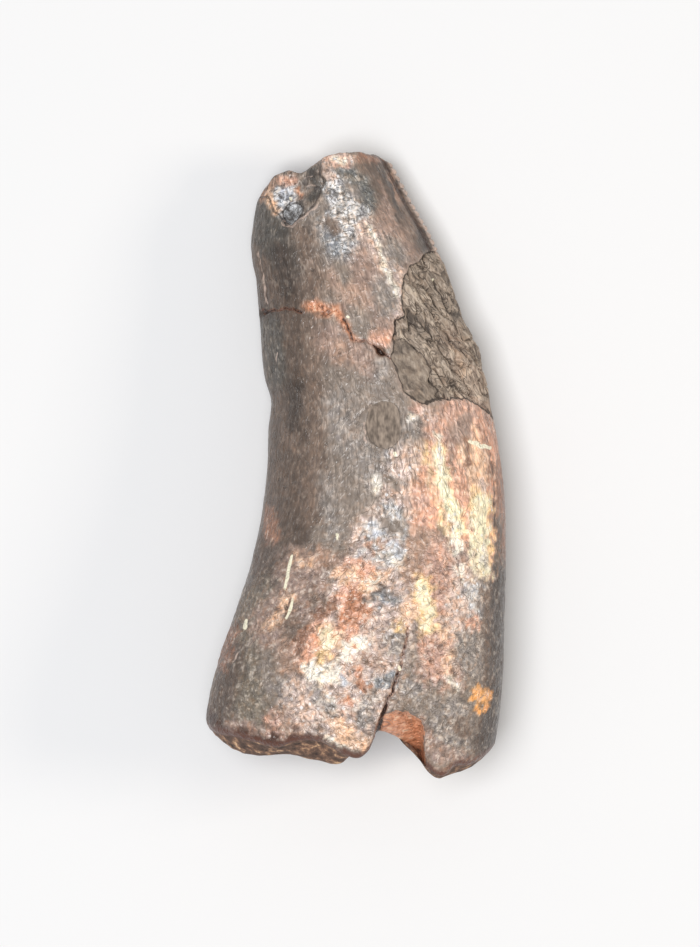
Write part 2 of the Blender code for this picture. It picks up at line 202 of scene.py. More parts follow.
CREVICE_BEND = 0.25
CREVICE_WIDTH = 0.16
CREVICE_DEPTH = 2.2
FLOOR_LEVEL = 0.4

# Chip out of the tip's near side, with a pit in its floor: (x, y).
CHIP_SCAR = ((-7.2, 18.0), (-6.1, 19.3), (-4.9, 20.5), (-2.4, 21.1), (-2.3, 19.4), (-2.0, 19.1),
             (-2.3, 18.4), (-2.75, 17.35), (-3.35, 16.8), (-3.85, 16.4), (-4.3, 15.9), (-4.8, 15.9),
             (-5.3, 16.8), (-5.65, 17.0), (-6.0, 18.0))
SCAR_STEP = 0.3
SCAR_DEPTH = 0.75
SCAR_REACH = 1.6
SCAR_PIT = ((-5.0, 17.0), (-4.64, 17.5), (-4.0, 17.62), (-3.55, 17.3), (-3.68, 16.85), (-4.0, 16.4),
            (-4.4, 16.0), (-4.8, 16.3))
SCAR_PIT_DEPTH = 0.35
SCAR_ROUGHNESS = 0.12

# Cracks on each side, and the thin flakes lost between and below them. Cracks: (x, y, half width).
NEAR_CRACKS = (((-6.9, 10.27, 0.14), (-6.2, 10.3, 0.08), (-5.6, 10.38, 0.03), (-5.1, 10.42, 0.01),
                (-4.7, 10.46, 0.03), (-4.3, 10.46, 0.05), (-4.0, 10.3, 0.04), (-3.7, 10.15, 0.02)),
               ((-0.9, 9.75, 0.03), (-0.72, 9.3, 0.06), (-0.5, 8.85, 0.05), (-0.3, 8.4, 0.06),
                (0.0, 8.27, 0.04), (0.6, 8.25, 0.02), (1.1, 7.95, 0.03), (1.45, 7.6, 0.14), (1.7, 7.4, 0.12),
                (2.1, 7.2, 0.03), (2.3, 7.0, 0.01)),
               ((3.45, -10.4, 0.0), (3.35, -11.2, 0.01), (2.95, -13.2, 0.02), (2.75, -13.7, 0.04),
                (2.4, -14.8, 0.05), (1.95, -15.9, 0.07), (1.75, -16.4, 0.1), (1.3, -17.8, 0.12)))
FAR_CRACKS = (((-7.2, 10.25, 0.14), (-5.5, 9.9, 0.1), (-3.6, 9.2, 0.13), (-1.4, 9.5, 0.1), (0.8, 8.7, 0.06)),
              ((3.6, -19.5, 0.15), (3.0, -15.0, 0.12), (3.4, -10.5, 0.1), (2.7, -6.0, 0.05)))
HAIR_CRACKS = (((2.75, 9.9, 0.05), (2.55, 9.1, 0.05), (2.4, 8.1, 0.03)),
               ((-6.85, 15.1, 0.02), (-6.6, 14.0, 0.03), (-6.15, 12.2, 0.03), (-6.05, 10.6, 0.02)),
               ((6.5, -5.7, 0.04), (6.8, -7.3, 0.06), (7.2, -8.5, 0.03)),
               ((4.8, -12.5, 0.02), (4.85, -14.2, 0.03), (4.75, -15.9, 0.02)),
               ((1.5, 3.9, 0.02), (0.9, 4.0, 0.03), (-0.2, 2.9, 0.02)),
               ((6.0, 0.9, 0.03), (5.9, -1.5, 0.04), (6.6, -5.0, 0.03)),
               ((8.7, 2.2, 0.03), (9.2, -0.5, 0.04), (9.3, -4.5, 0.03)),
               ((-4.4, -8.75, 0.04), (-4.65, -9.5, 0.08), (-4.9, -10.2, 0.05)),
               ((4.1, 18.6, 0.03), (5.0, 16.4, 0.05), (5.5, 15.2, 0.04)))
CRACK_DEPTH = 0.35
CRACK_EDGE = (-0.1, 0.12)
CRACK_JAGS = 0.13
CRACK_RAGGEDNESS = 0.05
HAIR_DEPTH = 0.1
CRACK_PIT = (1.6, 7.5)
CRACK_PIT_RADIUS = 0.32
PLATE_FLAKE = ((-3.3, 10.6), (-2.6, 11.1), (-2.2, 10.8), (-1.6, 11.0), (-0.9, 10.7), (-0.8, 9.8),
               (-1.6, 9.7), (-2.4, 9.9), (-3.0, 10.1))
ENAMEL_FLAKE = ((-1.7, -7.1), (-0.7, -6.5), (0.6, -6.7), (1.5, -7.3), (1.1, -8.1), (-0.3, -9.2),
                (-0.5, -10.6), (-1.2, -12.2), (-2.6, -12.7), (-3.3, -12.0), (-2.6, -10.2), (-2.7, -8.3))
FLAKE_DEPTH = 0.12

# Sloping facet that the notch in the base leaves on the near side: (x, y).
NOTCH_FACET = ((0.9, -19.6), (1.3, -17.4), (1.6, -16.75), (1.9, -16.4), (2.7, -16.2), (3.3, -16.3),
               (3.85, -16.6), (4.3, -16.95), (4.45, -17.5), (4.4, -18.2), (4.5, -19.2), (4.7, -21.5))
NOTCH_TOP_Y = -16.2
NOTCH_STEP = 0.4
NOTCH_SLOPE = 1.1

# The broken base drops from the enamel's edge to its lowest line, then rises to its far side.
BASE_HALF_WIDTH = 10.0
BREAK_DROP = 2.6
FAR_FROM = 0.8
FAR_TO = 2.4
BREAK_ROUGHNESS = 0.28
NEAR_BASE_ROUGH_SHARE = 0.2
TIP_ROUGH_SHARE = 0.5
CRUMB_SHARE = 0.5
HOLLOW_DEPTH = 1.5
HOLLOW_HALF_WIDTH = 5.2
HOLLOW_HALF_HEIGHT = 3.0
HOLLOW_FLOOR = 0.55
FAR_TIP_FALL = 1.1
FAR_TIP_CURVE = 1.5
MISFIT_FADE = 8
EDGE_WEAR = 0.22

# Marks on the surface, scratched or worn, bright and dim: (x, y, half width). Bright ones are less jagged.
MARK_JAGS = 0.4
LIGHT_MARKS = (((7.5, 1.52, 0.1), (8.0, 1.4, 0.13), (8.25, 1.2, 0.13), (8.55, 1.22, 0.12), (8.95, 1.1, 0.1)),
               ((-4.3, -6.05, 0.07), (-4.45, -6.6, 0.11), (-4.6, -7.5, 0.1), (-4.75, -8.3, 0.07)),
               ((-4.2, -8.8, 0.06), (-4.4, -9.5, 0.09), (-4.65, -10.15, 0.09)),
               ((-7.42, -10.4, 0.1), (-7.48, -10.9, 0.12)),
               ((-1.28, -4.62, 0.09), (-1.24, -4.95, 0.07)),
               ((-0.64, 9.86, 0.06), (-0.56, 9.8, 0.06)),
               ((2.5, 0.75, 0.09), (2.6, 0.6, 0.08)),
               ((2.8, -13.35, 0.1), (2.86, -13.5, 0.08)),
               ((-4.52, 18.0, 0.06), (-4.44, 17.86, 0.07)),
               ((5.38, 12.42, 0.09), (5.48, 12.36, 0.08)))
DIM_MARKS = (((-2.5, 4.75, 0.04), (-2.56, 4.4, 0.05)),
             ((-5.3, 7.5, 0.03), (-5.42, 7.1, 0.05), (-5.32, 6.7, 0.03)),
             ((0.46, 2.75, 0.04), (0.5, 2.2, 0.07), (0.58, 1.4, 0.04)),
             ((-6.75, 14.8, 0.01), (-6.66, 14.15, 0.03), (-6.46, 13.4, 0.04), (-6.27, 12.5, 0.02),
              (-6.17, 11.1, 0.04), (-6.05, 10.7, 0.01)),
             ((0.74, -0.94, 0.03), (1.08, -1.75, 0.05)),
             ((-5.25, 16.6, 0.02), (-4.8, 15.97, 0.04), (-4.4, 15.9, 0.05), (-3.84, 16.4, 0.06),
              (-2.78, 17.2, 0.05), (-2.18, 17.97, 0.03), (-1.93, 18.7, 0.02), (-2.05, 19.2, 0.04),
              (-2.5, 19.75, 0.02)),
             ((-3.66, 16.65, 0.03), (-2.7, 17.25, 0.05)),
             ((-5.0, 16.5, 0.02), (-4.5, 15.98, 0.04), (-4.1, 16.15, 0.09), (-3.9, 16.4, 0.04)),
             ((-4.6, 19.65, 0.05), (-4.2, 19.5, 0.04)),
             ((-4.5, 17.72, 0.04), (-4.0, 17.85, 0.05)),
             ((-3.4, 18.75, 0.03), (-3.0, 18.85, 0.05), (-2.6, 18.7, 0.03)),
             ((-3.5, 19.3, 0.03), (-3.0, 19.45, 0.04)),
             ((-7.8, -12.4, 0.03), (-8.3, -13.2, 0.05)),
             ((3.3, 4.98, 0.04), (3.8, 4.8, 0.06)),
             ((-5.95, -4.4, 0.04), (-6.0, -4.9, 0.07)))

# How screen colours become light, and how far the strokes' edges wander and shiver, more near the base.
SCREEN_WHITE = 255.0
SCREEN_GAMMA = 2.2
STROKE_EDGE_INSIDE = 0.3
WANDER_X = 0.2
WANDER_Y = 0.3
SHIVER_X = 0.2
SHIVER_Y = 0.3
BASE_SHIVER_X = 0.35
BASE_SHIVER_Y = 0.3
BASE_ZONE_Y = 6.0

# Tints the sides are painted with: red, green and blue as a screen shows them, then how shiny each one is.
# Beside the enamel's own colours, some strokes of the dark tints paint shade and some of the pale and glint
# tints paint highlights.
TINTS = {
    "ink": (77, 68, 62, 0.1), "soot": (86, 82, 77, 0.3), "umber": (98, 85, 76, 0.1),
    "maroon": (84, 62, 52, 0.1),
    "brown": (120, 104, 93, 0.15), "drab": (137, 125, 115, 0.15), "olive": (128, 118, 105, 0.3),
    "steel": (118, 118, 115, 0.6), "ash": (148, 139, 132, 0.4), "slate": (150, 153, 156, 0.7),
    "silver": (188, 186, 184, 0.9), "ice": (214, 218, 224, 1.0), "glint": (205, 204, 202, 1.0),
    "shell": (210, 186, 172, 0.7), "rosy": (160, 137, 125, 0.3), "tan": (168, 140, 123, 0.3),
    "sienna": (152, 116, 97, 0.3), "rust": (200, 144, 114, 0.5), "blush": (200, 162, 144, 0.5),
    "salmon": (228, 176, 150, 0.5), "peach": (240, 200, 168, 0.6), "amber": (255, 184, 108, 0.3),
    "gold": (254, 217, 162, 0.6), "straw": (255, 241, 204, 0.6), "cream": (255, 247, 230, 0.8),
    "lemon": (255, 250, 214, 0.7),
}
GROUND_TINT = "drab"
# Strokes of those tints, later ones over earlier ones: (tint, half width, soft edge, (x, y) points).
STROKES = (
    # The concave side of the upper half, darkened as painted shade where it turns away from the light.
    ("umber", 1.3, 1.1, ((-6.2, 13.5), (-5.7, 9.0), (-5.2, 5.0), (-5.0, 1.0), (-4.9, -3.0))),
    ("umber", 0.5, 1.0, ((-4.2, 11.6), (-4.0, 6.0), (-3.9, 0.0), (-3.8, -4.6))),
    ("soot", 1.0, 0.9, ((-6.5, 17.4), (-5.9, 15.6), (-4.8, 14.4))),
    ("soot", 0.5, 0.9, ((-4.6, 14.2), (-3.8, 13.6))),
    ("ink", 0.3, 0.9, ((-5.1, 14.2), (-4.6, 12.4), (-4.2, 11.6))),
    ("soot", 0.5, 0.7, ((-6.0, 9.4), (-5.5, 7.6), (-5.4, 5.8))),
    ("ink", 0.2, 0.5, ((-6.5, 10.3), (-5.7, 10.3))),
    ("ink", 0.3, 0.7, ((-4.1, 5.0), (-4.0, 2.6))),
    ("brown", 0.3, 0.5, ((-4.6, 1.6), (-3.6, 1.1))),
    ("brown", 0.5, 1.1, ((-3.5, 15.6), (-3.0, 13.4), (-2.8, 11.6))),
    ("brown", 0.4, 1.0, ((-2.9, 9.4), (-2.8, 5.0), (-2.7, 0.0), (-2.9, -3.6))),

    # From the tip down to the crack, with the fine lines beside the keel and the painted shade of the groove
    # just inside it.
    ("ash", 1.4, 1.1, ((-1.4, 18.8), (-1.2, 16.6), (-0.7, 14.4))),
    ("brown", 1.5, 0.9, ((1.8, 19.4), (2.6, 17.4), (3.6, 15.0))),
    ("rosy", 0.4, 0.8, ((2.0, 17.0), (2.8, 15.4), (3.6, 14.2))),
    # The wide umber and soot strokes just inside the keel are painted shade of its groove.
    ("umber", 0.7, 0.6, ((1.6, 20.3), (2.6, 19.0), (3.5, 17.2), (4.4, 15.4))),
    ("soot", 0.35, 0.4, ((4.5, 15.1), (5.0, 14.6))),
    ("ink", 0.12, 0.2, ((2.0, 20.6), (3.0, 18.6), (4.0, 16.6), (4.6, 15.4))),
    ("ink", 0.1, 0.15, ((3.0, 20.0), (3.9, 18.2), (4.8, 16.2))),
    ("tan", 0.06, 0.15, ((2.6, 20.2), (3.5, 18.2), (4.4, 16.2))),
    ("ink", 0.05, 0.2, ((1.9, 19.4), (2.7, 17.6), (3.3, 16.0))),
    ("tan", 0.1, 0.2, ((2.2, 19.6), (3.2, 17.4), (4.0, 15.6))),
    ("rosy", 0.06, 0.2, ((1.5, 19.0), (2.2, 17.2), (3.0, 15.2))),
    ("ink", 0.05, 0.2, ((2.6, 16.8), (3.5, 15.0))),
    # The silver, slate and glint strokes along the crest are painted highlights.
    ("silver", 0.7, 0.8, ((-2.0, 16.7), (-0.9, 15.4), (-0.5, 14.1))),
    ("slate", 0.4, 0.6, ((-1.6, 15.2), (-0.9, 13.8))),
    ("glint", 0.5, 0.6, ((-1.7, 19.0), (-1.4, 18.0), (-1.0, 17.4), (-0.5, 17.0), (0.3, 16.8))),
    ("steel", 0.25, 0.6, ((0.4, 19.0), (0.7, 18.2), (0.9, 17.6))),
    ("steel", 0.25, 0.5, ((-0.9, 19.9), (-0.3, 19.3))),
    ("brown", 0.2, 0.5, ((-1.8, 16.0), (-1.6, 15.7))),
    ("rosy", 1.4, 1.3, ((2.0, 14.4), (0.6, 12.0), (1.2, 9.8))),
    ("tan", 0.3, 1.0, ((-1.4, 12.6), (-0.4, 11.4), (0.2, 11.0))),
    ("shell", 0.4, 0.7, ((0.7, 15.9), (1.3, 14.6), (2.0, 13.2), (2.6, 12.2), (2.7, 10.4))),
    ("ash", 0.4, 0.8, ((2.3, 14.6), (2.7, 13.8))),
    ("ash", 0.5, 0.8, ((1.8, 11.8), (2.0, 10.6))),
    ("cream", 0.06, 0.35, ((0.9, 15.9), (1.4, 14.6), (1.8, 13.4), (2.3, 12.6), (2.6, 11.4))),
    ("drab", 0.5, 0.8, ((0.0, 9.9), (0.4, 9.0))),
    ("salmon", 0.35, 0.5, ((1.4, 8.5), (2.0, 8.4))),
    ("rust", 0.15, 0.35, ((-1.0, 9.9), (-0.6, 8.9), (-0.2, 8.4))),
    ("rust", 0.25, 0.5, ((-3.2, 10.5), (-2.2, 10.4), (-1.2, 10.2))),
    ("shell", 0.35, 0.35, ((-2.2, 20.2), (-1.4, 20.6), (-0.5, 20.5))),
    ("shell", 0.25, 0.35, ((-2.2, 19.8), (-1.7, 19.3))),
    ("blush", 0.25, 0.3, ((-1.8, 20.6), (-0.8, 20.3))),
    ("cream", 0.08, 0.3, ((-1.7, 20.6), (-0.9, 20.4))),
    ("sienna", 0.2, 0.35, ((0.2, 20.7), (1.6, 20.6))),

    # The chip at the tip.
    ("drab", 1.5, 0.6, ((-3.8, 19.0), (-3.4, 17.8))),
    # The silver and ice strokes are a painted glint on the chip's floor.
    ("silver", 0.6, 0.5, ((-5.0, 18.9), (-4.9, 17.6), (-4.4, 17.0))),
    ("ice", 0.45, 0.4, ((-5.0, 18.9), (-4.8, 18.3), (-4.9, 17.6))),
    ("tan", 0.3, 0.3, ((-6.4, 18.3), (-5.6, 19.1), (-4.6, 19.4))),
    ("blush", 0.2, 0.3, ((-5.0, 19.3), (-4.4, 19.1))),
    ("peach", 0.15, 0.3, ((-6.0, 18.4), (-5.7, 17.8), (-5.45, 17.2))),
    ("rust", 0.12, 0.3, ((-3.95, 18.5), (-3.8, 18.2))),
    ("soot", 0.15, 0.3, ((-3.0, 19.7), (-2.8, 19.0), (-2.5, 18.4), (-3.1, 17.9))),
    ("ash", 0.15, 0.3, ((-3.5, 19.0), (-3.3, 18.6))),
    ("ash", 0.1, 0.25, ((-3.4, 16.6), (-2.6, 17.2))),

    # The middle, with its two yellow strips that are partly pale amber enamel and partly painted highlights,
    # and last lights and darks near the tip: a painted highlight by the crest and painted shade inside the
    # keel.
    ("rosy", 0.7, 1.0, ((-1.8, 8.4), (-0.7, 7.4), (0.6, 6.8))),
    ("tan", 0.2, 0.7, ((-1.2, 7.8), (-0.9, 6.8))),
    ("drab", 0.5, 0.9, ((-1.4, 5.8), (-0.2, 5.6))),
    ("ash", 0.5, 1.2, ((-1.2, 3.8), (-0.8, 1.2), (0.6, 0.6), (1.1, -0.6))),
    ("ash", 0.3, 0.6, ((1.6, 6.8), (1.6, 5.6))),
    ("ash", 0.6, 0.8, ((3.6, 2.8), (3.2, 1.0), (1.8, 0.0))),
    ("slate", 0.2, 0.4, ((2.3, 0.7), (2.7, 0.7))),
    ("ash", 0.2, 0.9, ((-2.0, -1.2), (-1.6, -4.6))),
    ("drab", 0.2, 0.9, ((0.3, -2.2), (0.0, -3.4))),
    ("brown", 0.2, 0.7, ((0.0, -4.9), (-0.4, -5.6))),
    ("cream", 0.1, 0.35, ((3.5, 3.0), (3.7, 2.9))),
    ("blush", 0.3, 0.5, ((4.0, 3.7), (4.6, 3.3))),
    ("shell", 0.3, 0.5, ((4.6, 3.3), (4.9, 3.0))),
    ("blush", 0.9, 0.8, ((6.6, 3.7), (8.0, 3.4), (8.6, 2.0))),
    ("rosy", 0.4, 0.6, ((7.3, 2.8), (6.9, 1.6), (6.6, 0.4))),
    ("blush", 0.6, 0.7, ((5.4, 2.4), (5.6, 1.2))),
    ("salmon", 0.4, 0.6, ((8.4, 2.4), (9.0, 1.2), (9.1, -0.6))),
    ("peach", 0.8, 0.8, ((7.7, 0.6), (8.2, -0.6), (7.4, -2.6), (7.6, -3.4))),
    ("shell", 0.2, 0.4, ((8.3, -1.2), (8.6, -1.6))),
    ("tan", 0.3, 0.5, ((6.9, -0.4), (7.1, -1.4))),
    ("salmon", 0.3, 0.5, ((6.7, -1.8), (7.2, -2.4), (7.0, -3.4))),
    ("sienna", 0.25, 0.35, ((9.6, 0.4), (9.6, -1.6), (9.65, -3.0))),
    # Painted shade down the convex edge.
    ("umber", 0.2, 0.45, ((9.7, -4.0), (9.75, -5.6), (9.8, -7.6))),
    ("peach", 0.6, 0.9, ((4.0, 0.4), (4.2, -1.4), (4.4, -3.0))),
    ("shell", 0.7, 0.9, ((3.2, 0.2), (2.7, -1.8), (2.4, -3.0))),
    ("rosy", 0.25, 0.4, ((3.4, -2.1), (3.8, -2.2))),
    ("drab", 0.2, 0.4, ((2.2, -1.0), (2.6, -1.5))),
    ("salmon", 0.7, 0.7, ((4.8, -2.8), (4.4, -4.0))),
    ("cream", 0.15, 0.35, ((1.3, -0.9), (1.5, -1.6))),
    # Gold, straw, lemon and cream strips: partly pale amber enamel, partly painted highlights of the warm
    # light from the convex side.
    ("gold", 0.55, 0.5, ((5.2, 0.8), (5.7, -1.0), (6.2, -3.2), (6.7, -5.4))),
    ("straw", 0.38, 0.35, ((5.4, 0.4), (5.8, -1.4), (6.2, -3.0), (6.6, -5.0))),
    ("gold", 0.75, 0.5, ((8.0, -2.6), (7.9, -4.8), (8.2, -6.8))),
    ("straw", 0.5, 0.4, ((8.1, -3.4), (8.0, -4.8), (8.2, -6.4))),
    ("straw", 0.5, 0.45, ((6.6, -5.2), (7.4, -4.8), (8.0, -4.6))),
    ("salmon", 0.08, 0.2, ((6.6, 0.8), (6.9, -1.0), (7.0, -2.6))),
    ("cream", 0.06, 0.2, ((5.35, 2.0), (5.5, 0.6), (5.9, -1.6), (6.3, -3.6))),
    ("salmon", 0.06, 0.2, ((4.9, 1.4), (5.0, -0.4), (5.4, -2.2))),
    ("cream", 0.06, 0.2, ((8.6, -1.8), (8.7, -3.6), (8.6, -5.4))),
    ("peach", 0.06, 0.2, ((7.9, 2.6), (8.3, 0.8), (8.4, -0.8))),
    ("sienna", 0.05, 0.2, ((8.6, 2.2), (8.9, 0.4), (8.95, -1.6))),
    ("tan", 0.08, 0.2, ((7.2, -3.2), (7.5, -4.2))),
    ("tan", 0.08, 0.25, ((7.0, -5.6), (7.3, -6.9))),
    ("sienna", 0.05, 0.2, ((7.3, 1.8), (7.4, -0.2))),
    ("salmon", 0.15, 0.3, ((8.95, -1.4), (9.0, -4.6), (8.95, -7.4))),
    ("salmon", 0.1, 0.3, ((4.3, -0.5), (4.7, -2.4), (5.2, -4.4))),
    ("cream", 0.2, 0.3, ((6.4, -5.4), (6.8, -5.7))),
    ("salmon", 0.06, 0.2, ((6.0, 0.8), (6.5, -1.2), (6.95, -2.8))),
    ("lemon", 0.5, 0.4, ((8.3, -2.6), (8.1, -4.8), (8.4, -7.0))),
    ("lemon", 0.25, 0.3, ((5.8, -1.0), (6.2, -3.0), (6.8, -5.2))),
    ("straw", 0.15, 0.3, ((8.1, -2.8), (7.9, -4.4), (8.3, -6.2))),
    ("peach", 0.08, 0.2, ((7.2, -5.0), (7.5, -6.8))),
    ("cream", 0.12, 0.2, ((6.2, -3.6), (6.5, -4.8))),
    ("sienna", 0.2, 0.25, ((9.95, 1.0), (10.0, -4.0), (9.95, -9.0))),
    ("salmon", 0.06, 0.25, ((7.1, -0.6), (7.3, -3.6), (7.4, -6.0))),
    ("cream", 0.12, 0.25, ((8.4, -5.6), (8.6, -6.8))),
    ("gold", 0.05, 0.2, ((8.9, -2.0), (9.0, -4.4), (8.9, -6.6))),
    ("peach", 0.05, 0.2, ((4.95, 0.4), (5.35, -1.6), (5.85, -3.4), (6.2, -4.8))),
    ("blush", 0.2, 0.5, ((4.1, -1.5), (4.3, -2.5))),
    ("silver", 0.35, 0.4, ((-2.0, 18.7), (-1.6, 18.1))),
    ("brown", 0.3, 0.6, ((3.5, 17.0), (4.0, 15.6))),
    ("ink", 0.1, 0.3, ((3.4, 18.4), (4.2, 16.6))),
    ("ink", 0.2, 0.4, ((4.4, 15.6), (4.9, 14.6))),
    ("drab", 0.25, 0.6, ((-1.2, 13.5), (-0.8, 12.5))),

    # The spalled patch.
    ("tan", 0.6, 0.8, ((6.4, 8.6), (7.4, 7.0), (8.2, 5.6))),
    ("peach", 0.1, 0.3, ((6.6, 8.0), (7.6, 6.2))),
    ("umber", 0.4, 0.6, ((5.2, 7.4), (5.6, 6.2), (6.6, 5.2))),
    ("umber", 0.3, 0.6, ((4.4, 12.6), (5.2, 11.0), (5.6, 9.4))),
    ("umber", 0.3, 0.5, ((7.6, 9.4), (8.4, 7.2))),

    # The concave side of the lower half, darkened along its edge as painted shade, down to the brown line
    # along the break.
    ("umber", 0.8, 0.8, ((-6.4, -4.6), (-6.3, -6.8), (-7.0, -8.4), (-7.8, -10.4))),
    ("umber", 0.4, 0.8, ((-4.2, -4.6), (-5.4, -7.2))),
    ("sienna", 0.3, 0.5, ((-5.8, -3.4), (-5.7, -4.8))),
    ("olive", 1.4, 1.3, ((-6.2, -9.6), (-6.8, -13.0), (-7.2, -16.0))),
    ("umber", 0.6, 0.9, ((-8.3, -12.6), (-9.0, -15.6), (-9.6, -17.2))),
    ("sienna", 0.2, 0.5, ((-8.3, -11.0), (-9.0, -13.4))),
    ("drab", 1.2, 1.1, ((-5.6, -10.4), (-5.0, -13.6), (-4.2, -15.6))),
    ("rosy", 1.2, 0.9, ((-3.8, -6.9), (-3.4, -8.4), (-4.6, -9.6), (-5.6, -10.6))),
    ("tan", 0.5, 0.6, ((-3.8, -6.2), (-1.4, -6.4), (0.4, -6.4))),
    ("peach", 0.15, 0.35, ((-4.0, -6.2), (-3.2, -6.8))),
    ("peach", 0.15, 0.4, ((-4.4, -8.6), (-4.8, -9.9), (-6.1, -10.7))),
    ("brown", 0.4, 0.6, ((-4.5, -10.6), (-4.1, -11.4))),
    ("brown", 0.3, 0.5, ((-3.0, -8.6), (-2.3, -9.6))),
    ("tan", 0.4, 0.7, ((-4.6, -12.2), (-4.4, -13.6))),
    ("ash", 0.6, 0.8, ((-4.6, -15.0), (-3.2, -15.4))),
    ("rosy", 0.3, 0.6, ((-8.2, -17.3), (-6.6, -17.7))),
    ("blush", 0.3, 0.5, ((-5.6, -16.8), (-5.3, -17.9))),
    ("tan", 0.5, 0.6, ((-4.7, -16.4), (-4.0, -17.4))),
    ("maroon", 0.3, 0.35, ((-10.0, -16.8), (-8.9, -17.9), (-7.0, -18.3), (-5.4, -18.5), (-4.0, -18.0))),

    # The pale middle of the lower half, whose silver, glint, ice and cream strokes near the crest are painted
    # highlights.
    ("shell", 1.7, 1.3, ((-2.6, -15.6), (-0.4, -16.2), (0.6, -14.2), (1.4, -11.2), (2.0, -9.6))),
    ("shell", 1.0, 0.9, ((0.9, -4.6), (1.4, -6.2), (2.8, -6.6))),
    ("silver", 0.6, 0.8, ((1.3, -4.7), (2.0, -5.9), (2.8, -6.3))),
    ("glint", 0.3, 0.4, ((2.1, -5.2), (2.8, -6.1))),
    ("ice", 0.12, 0.35, ((2.3, -5.3), (2.8, -6.0))),
    ("ice", 0.1, 0.3, ((1.1, -4.3), (1.5, -4.9))),
    ("silver", 0.4, 0.5, ((2.2, -3.0), (2.7, -3.5))),
    ("silver", 0.3, 0.5, ((2.9, -4.7), (3.3, -5.1))),
    ("silver", 0.35, 0.5, ((0.3, -6.0), (1.0, -6.4))),
    ("cream", 0.25, 0.4, ((2.4, -6.0), (3.2, -6.9))),
    ("drab", 0.2, 0.5, ((2.0, -3.8), (2.6, -4.1))),
    ("tan", 0.3, 0.35, ((1.9, -5.1), (2.6, -5.3))),
    ("blush", 0.2, 0.4, ((0.7, -5.2), (0.8, -5.6))),
    ("tan", 0.8, 0.9, ((4.2, -5.4), (4.0, -7.0), (5.0, -7.8))),
    ("shell", 1.1, 1.0, ((6.4, -7.0), (6.8, -8.6), (6.0, -10.2))),
    ("blush", 0.5, 0.6, ((5.4, -5.6), (5.4, -7.4), (5.2, -9.4))),
    ("silver", 0.5, 0.5, ((7.8, -8.4), (8.1, -9.4))),
    ("cream", 0.15, 0.3, ((6.9, -6.9), (7.0, -7.6))),
    ("rosy", 0.2, 0.3, ((7.1, -5.9), (7.2, -6.4))),

    # The flaked place, the bright flecks around it, two of which are painted highlights, and the convex edge
    # darkened as painted shade, with its orange spot.
    ("salmon", 0.9, 0.6, ((0.2, -7.2), (-0.4, -8.2), (-1.0, -9.6), (-2.0, -10.8), (-3.0, -12.4))),
    ("rust", 0.7, 0.5, ((0.1, -9.2), (-0.3, -10.2))),
    ("salmon", 0.4, 0.5, ((-0.4, -11.2), (-0.8, -11.8))),
    ("peach", 0.3, 0.4, ((-1.0, -7.6), (-0.2, -7.2))),
    ("shell", 0.3, 0.4, ((-1.5, -8.2), (-1.8, -10.3))),
    ("peach", 0.4, 0.4, ((0.5, -8.0), (1.3, -7.4))),
    ("cream", 0.12, 0.3, ((0.9, -7.8), (1.3, -7.4))),
    ("umber", 0.15, 0.3, ((0.7, -8.9), (1.2, -8.6), (1.7, -8.1))),
    ("sienna", 0.2, 0.35, ((-1.5, -9.0), (-2.0, -9.5), (-2.8, -10.0))),
    ("sienna", 0.15, 0.35, ((-3.2, -11.0), (-4.0, -12.4))),
    ("slate", 0.3, 0.4, ((1.7, -8.8), (2.4, -9.1))),
    ("peach", 0.5, 0.35, ((-1.9, -10.9), (-1.8, -11.6), (-1.3, -11.6))),
    ("straw", 0.2, 0.35, ((-1.9, -11.2), (-1.7, -11.7))),
    # These two cream strokes are painted highlights.
    ("cream", 0.3, 0.4, ((-1.1, -12.6), (-0.7, -12.3), (0.3, -11.7))),
    ("gold", 0.25, 0.4, ((-2.3, -12.3), (-2.4, -12.8))),
    ("cream", 0.5, 0.4, ((-2.9, -13.6), (-2.4, -14.1), (-1.8, -13.7))),
    ("rust", 0.12, 0.35, ((0.1, -13.6), (0.4, -14.4))),
    ("rust", 0.12, 0.3, ((-0.6, -15.6), (-0.4, -16.0))),
    ("tan", 0.2, 0.5, ((0.6, -12.6), (1.3, -13.0))),
    ("slate", 0.4, 0.4, ((1.4, -14.3), (2.1, -14.2))),
    ("ash", 0.5, 0.6, ((2.5, -11.4), (2.7, -12.3))),
    ("ash", 0.4, 0.5, ((3.6, -14.6), (4.3, -14.8))),
    ("cream", 0.15, 0.35, ((-1.8, -15.5), (-1.5, -15.9))),
    ("ash", 0.25, 0.8, ((0.9, -15.2), (0.4, -16.6))),
    ("ash", 0.15, 0.7, ((-2.8, -15.0), (-1.6, -16.4))),
    ("ice", 0.12, 0.3, ((0.4, -15.8), (0.7, -16.2))),
    ("ice", 0.1, 0.3, ((-1.0, -14.2), (-0.8, -14.6))),
    ("cream", 0.3, 0.35, ((-1.6, -18.2), (-0.9, -18.5))),
    ("peach", 0.4, 0.4, ((-1.2, -17.2), (-0.4, -18.2), (0.4, -18.6))),
    ("amber", 0.1, 0.3, ((-2.2, -18.6), (-1.9, -18.7))),
    ("peach", 0.4, 0.5, ((3.3, -9.8), (3.8, -9.3))),
    ("gold", 0.45, 0.4, ((4.4, -7.9), (4.3, -8.8), (4.7, -9.8), (4.8, -10.9))),
    ("lemon", 0.25, 0.3, ((4.3, -8.1), (4.4, -9.0))),
    ("straw", 0.2, 0.3, ((4.4, -8.2), (4.3, -8.8), (4.8, -9.8), (4.7, -10.6))),
    ("gold", 0.15, 0.35, ((2.6, -10.5), (2.8, -10.6))),
    ("peach", 0.5, 0.5, ((5.5, -11.5), (6.2, -11.9))),
    ("blush", 0.6, 0.7, ((4.9, -12.0), (5.0, -13.6))),
    ("blush", 0.7, 0.6, ((6.4, -12.4), (6.3, -14.0))),
    ("peach", 0.2, 0.4, ((6.5, -12.2), (6.1, -13.4))),
    ("cream", 0.2, 0.4, ((6.2, -14.2), (6.5, -14.7))),
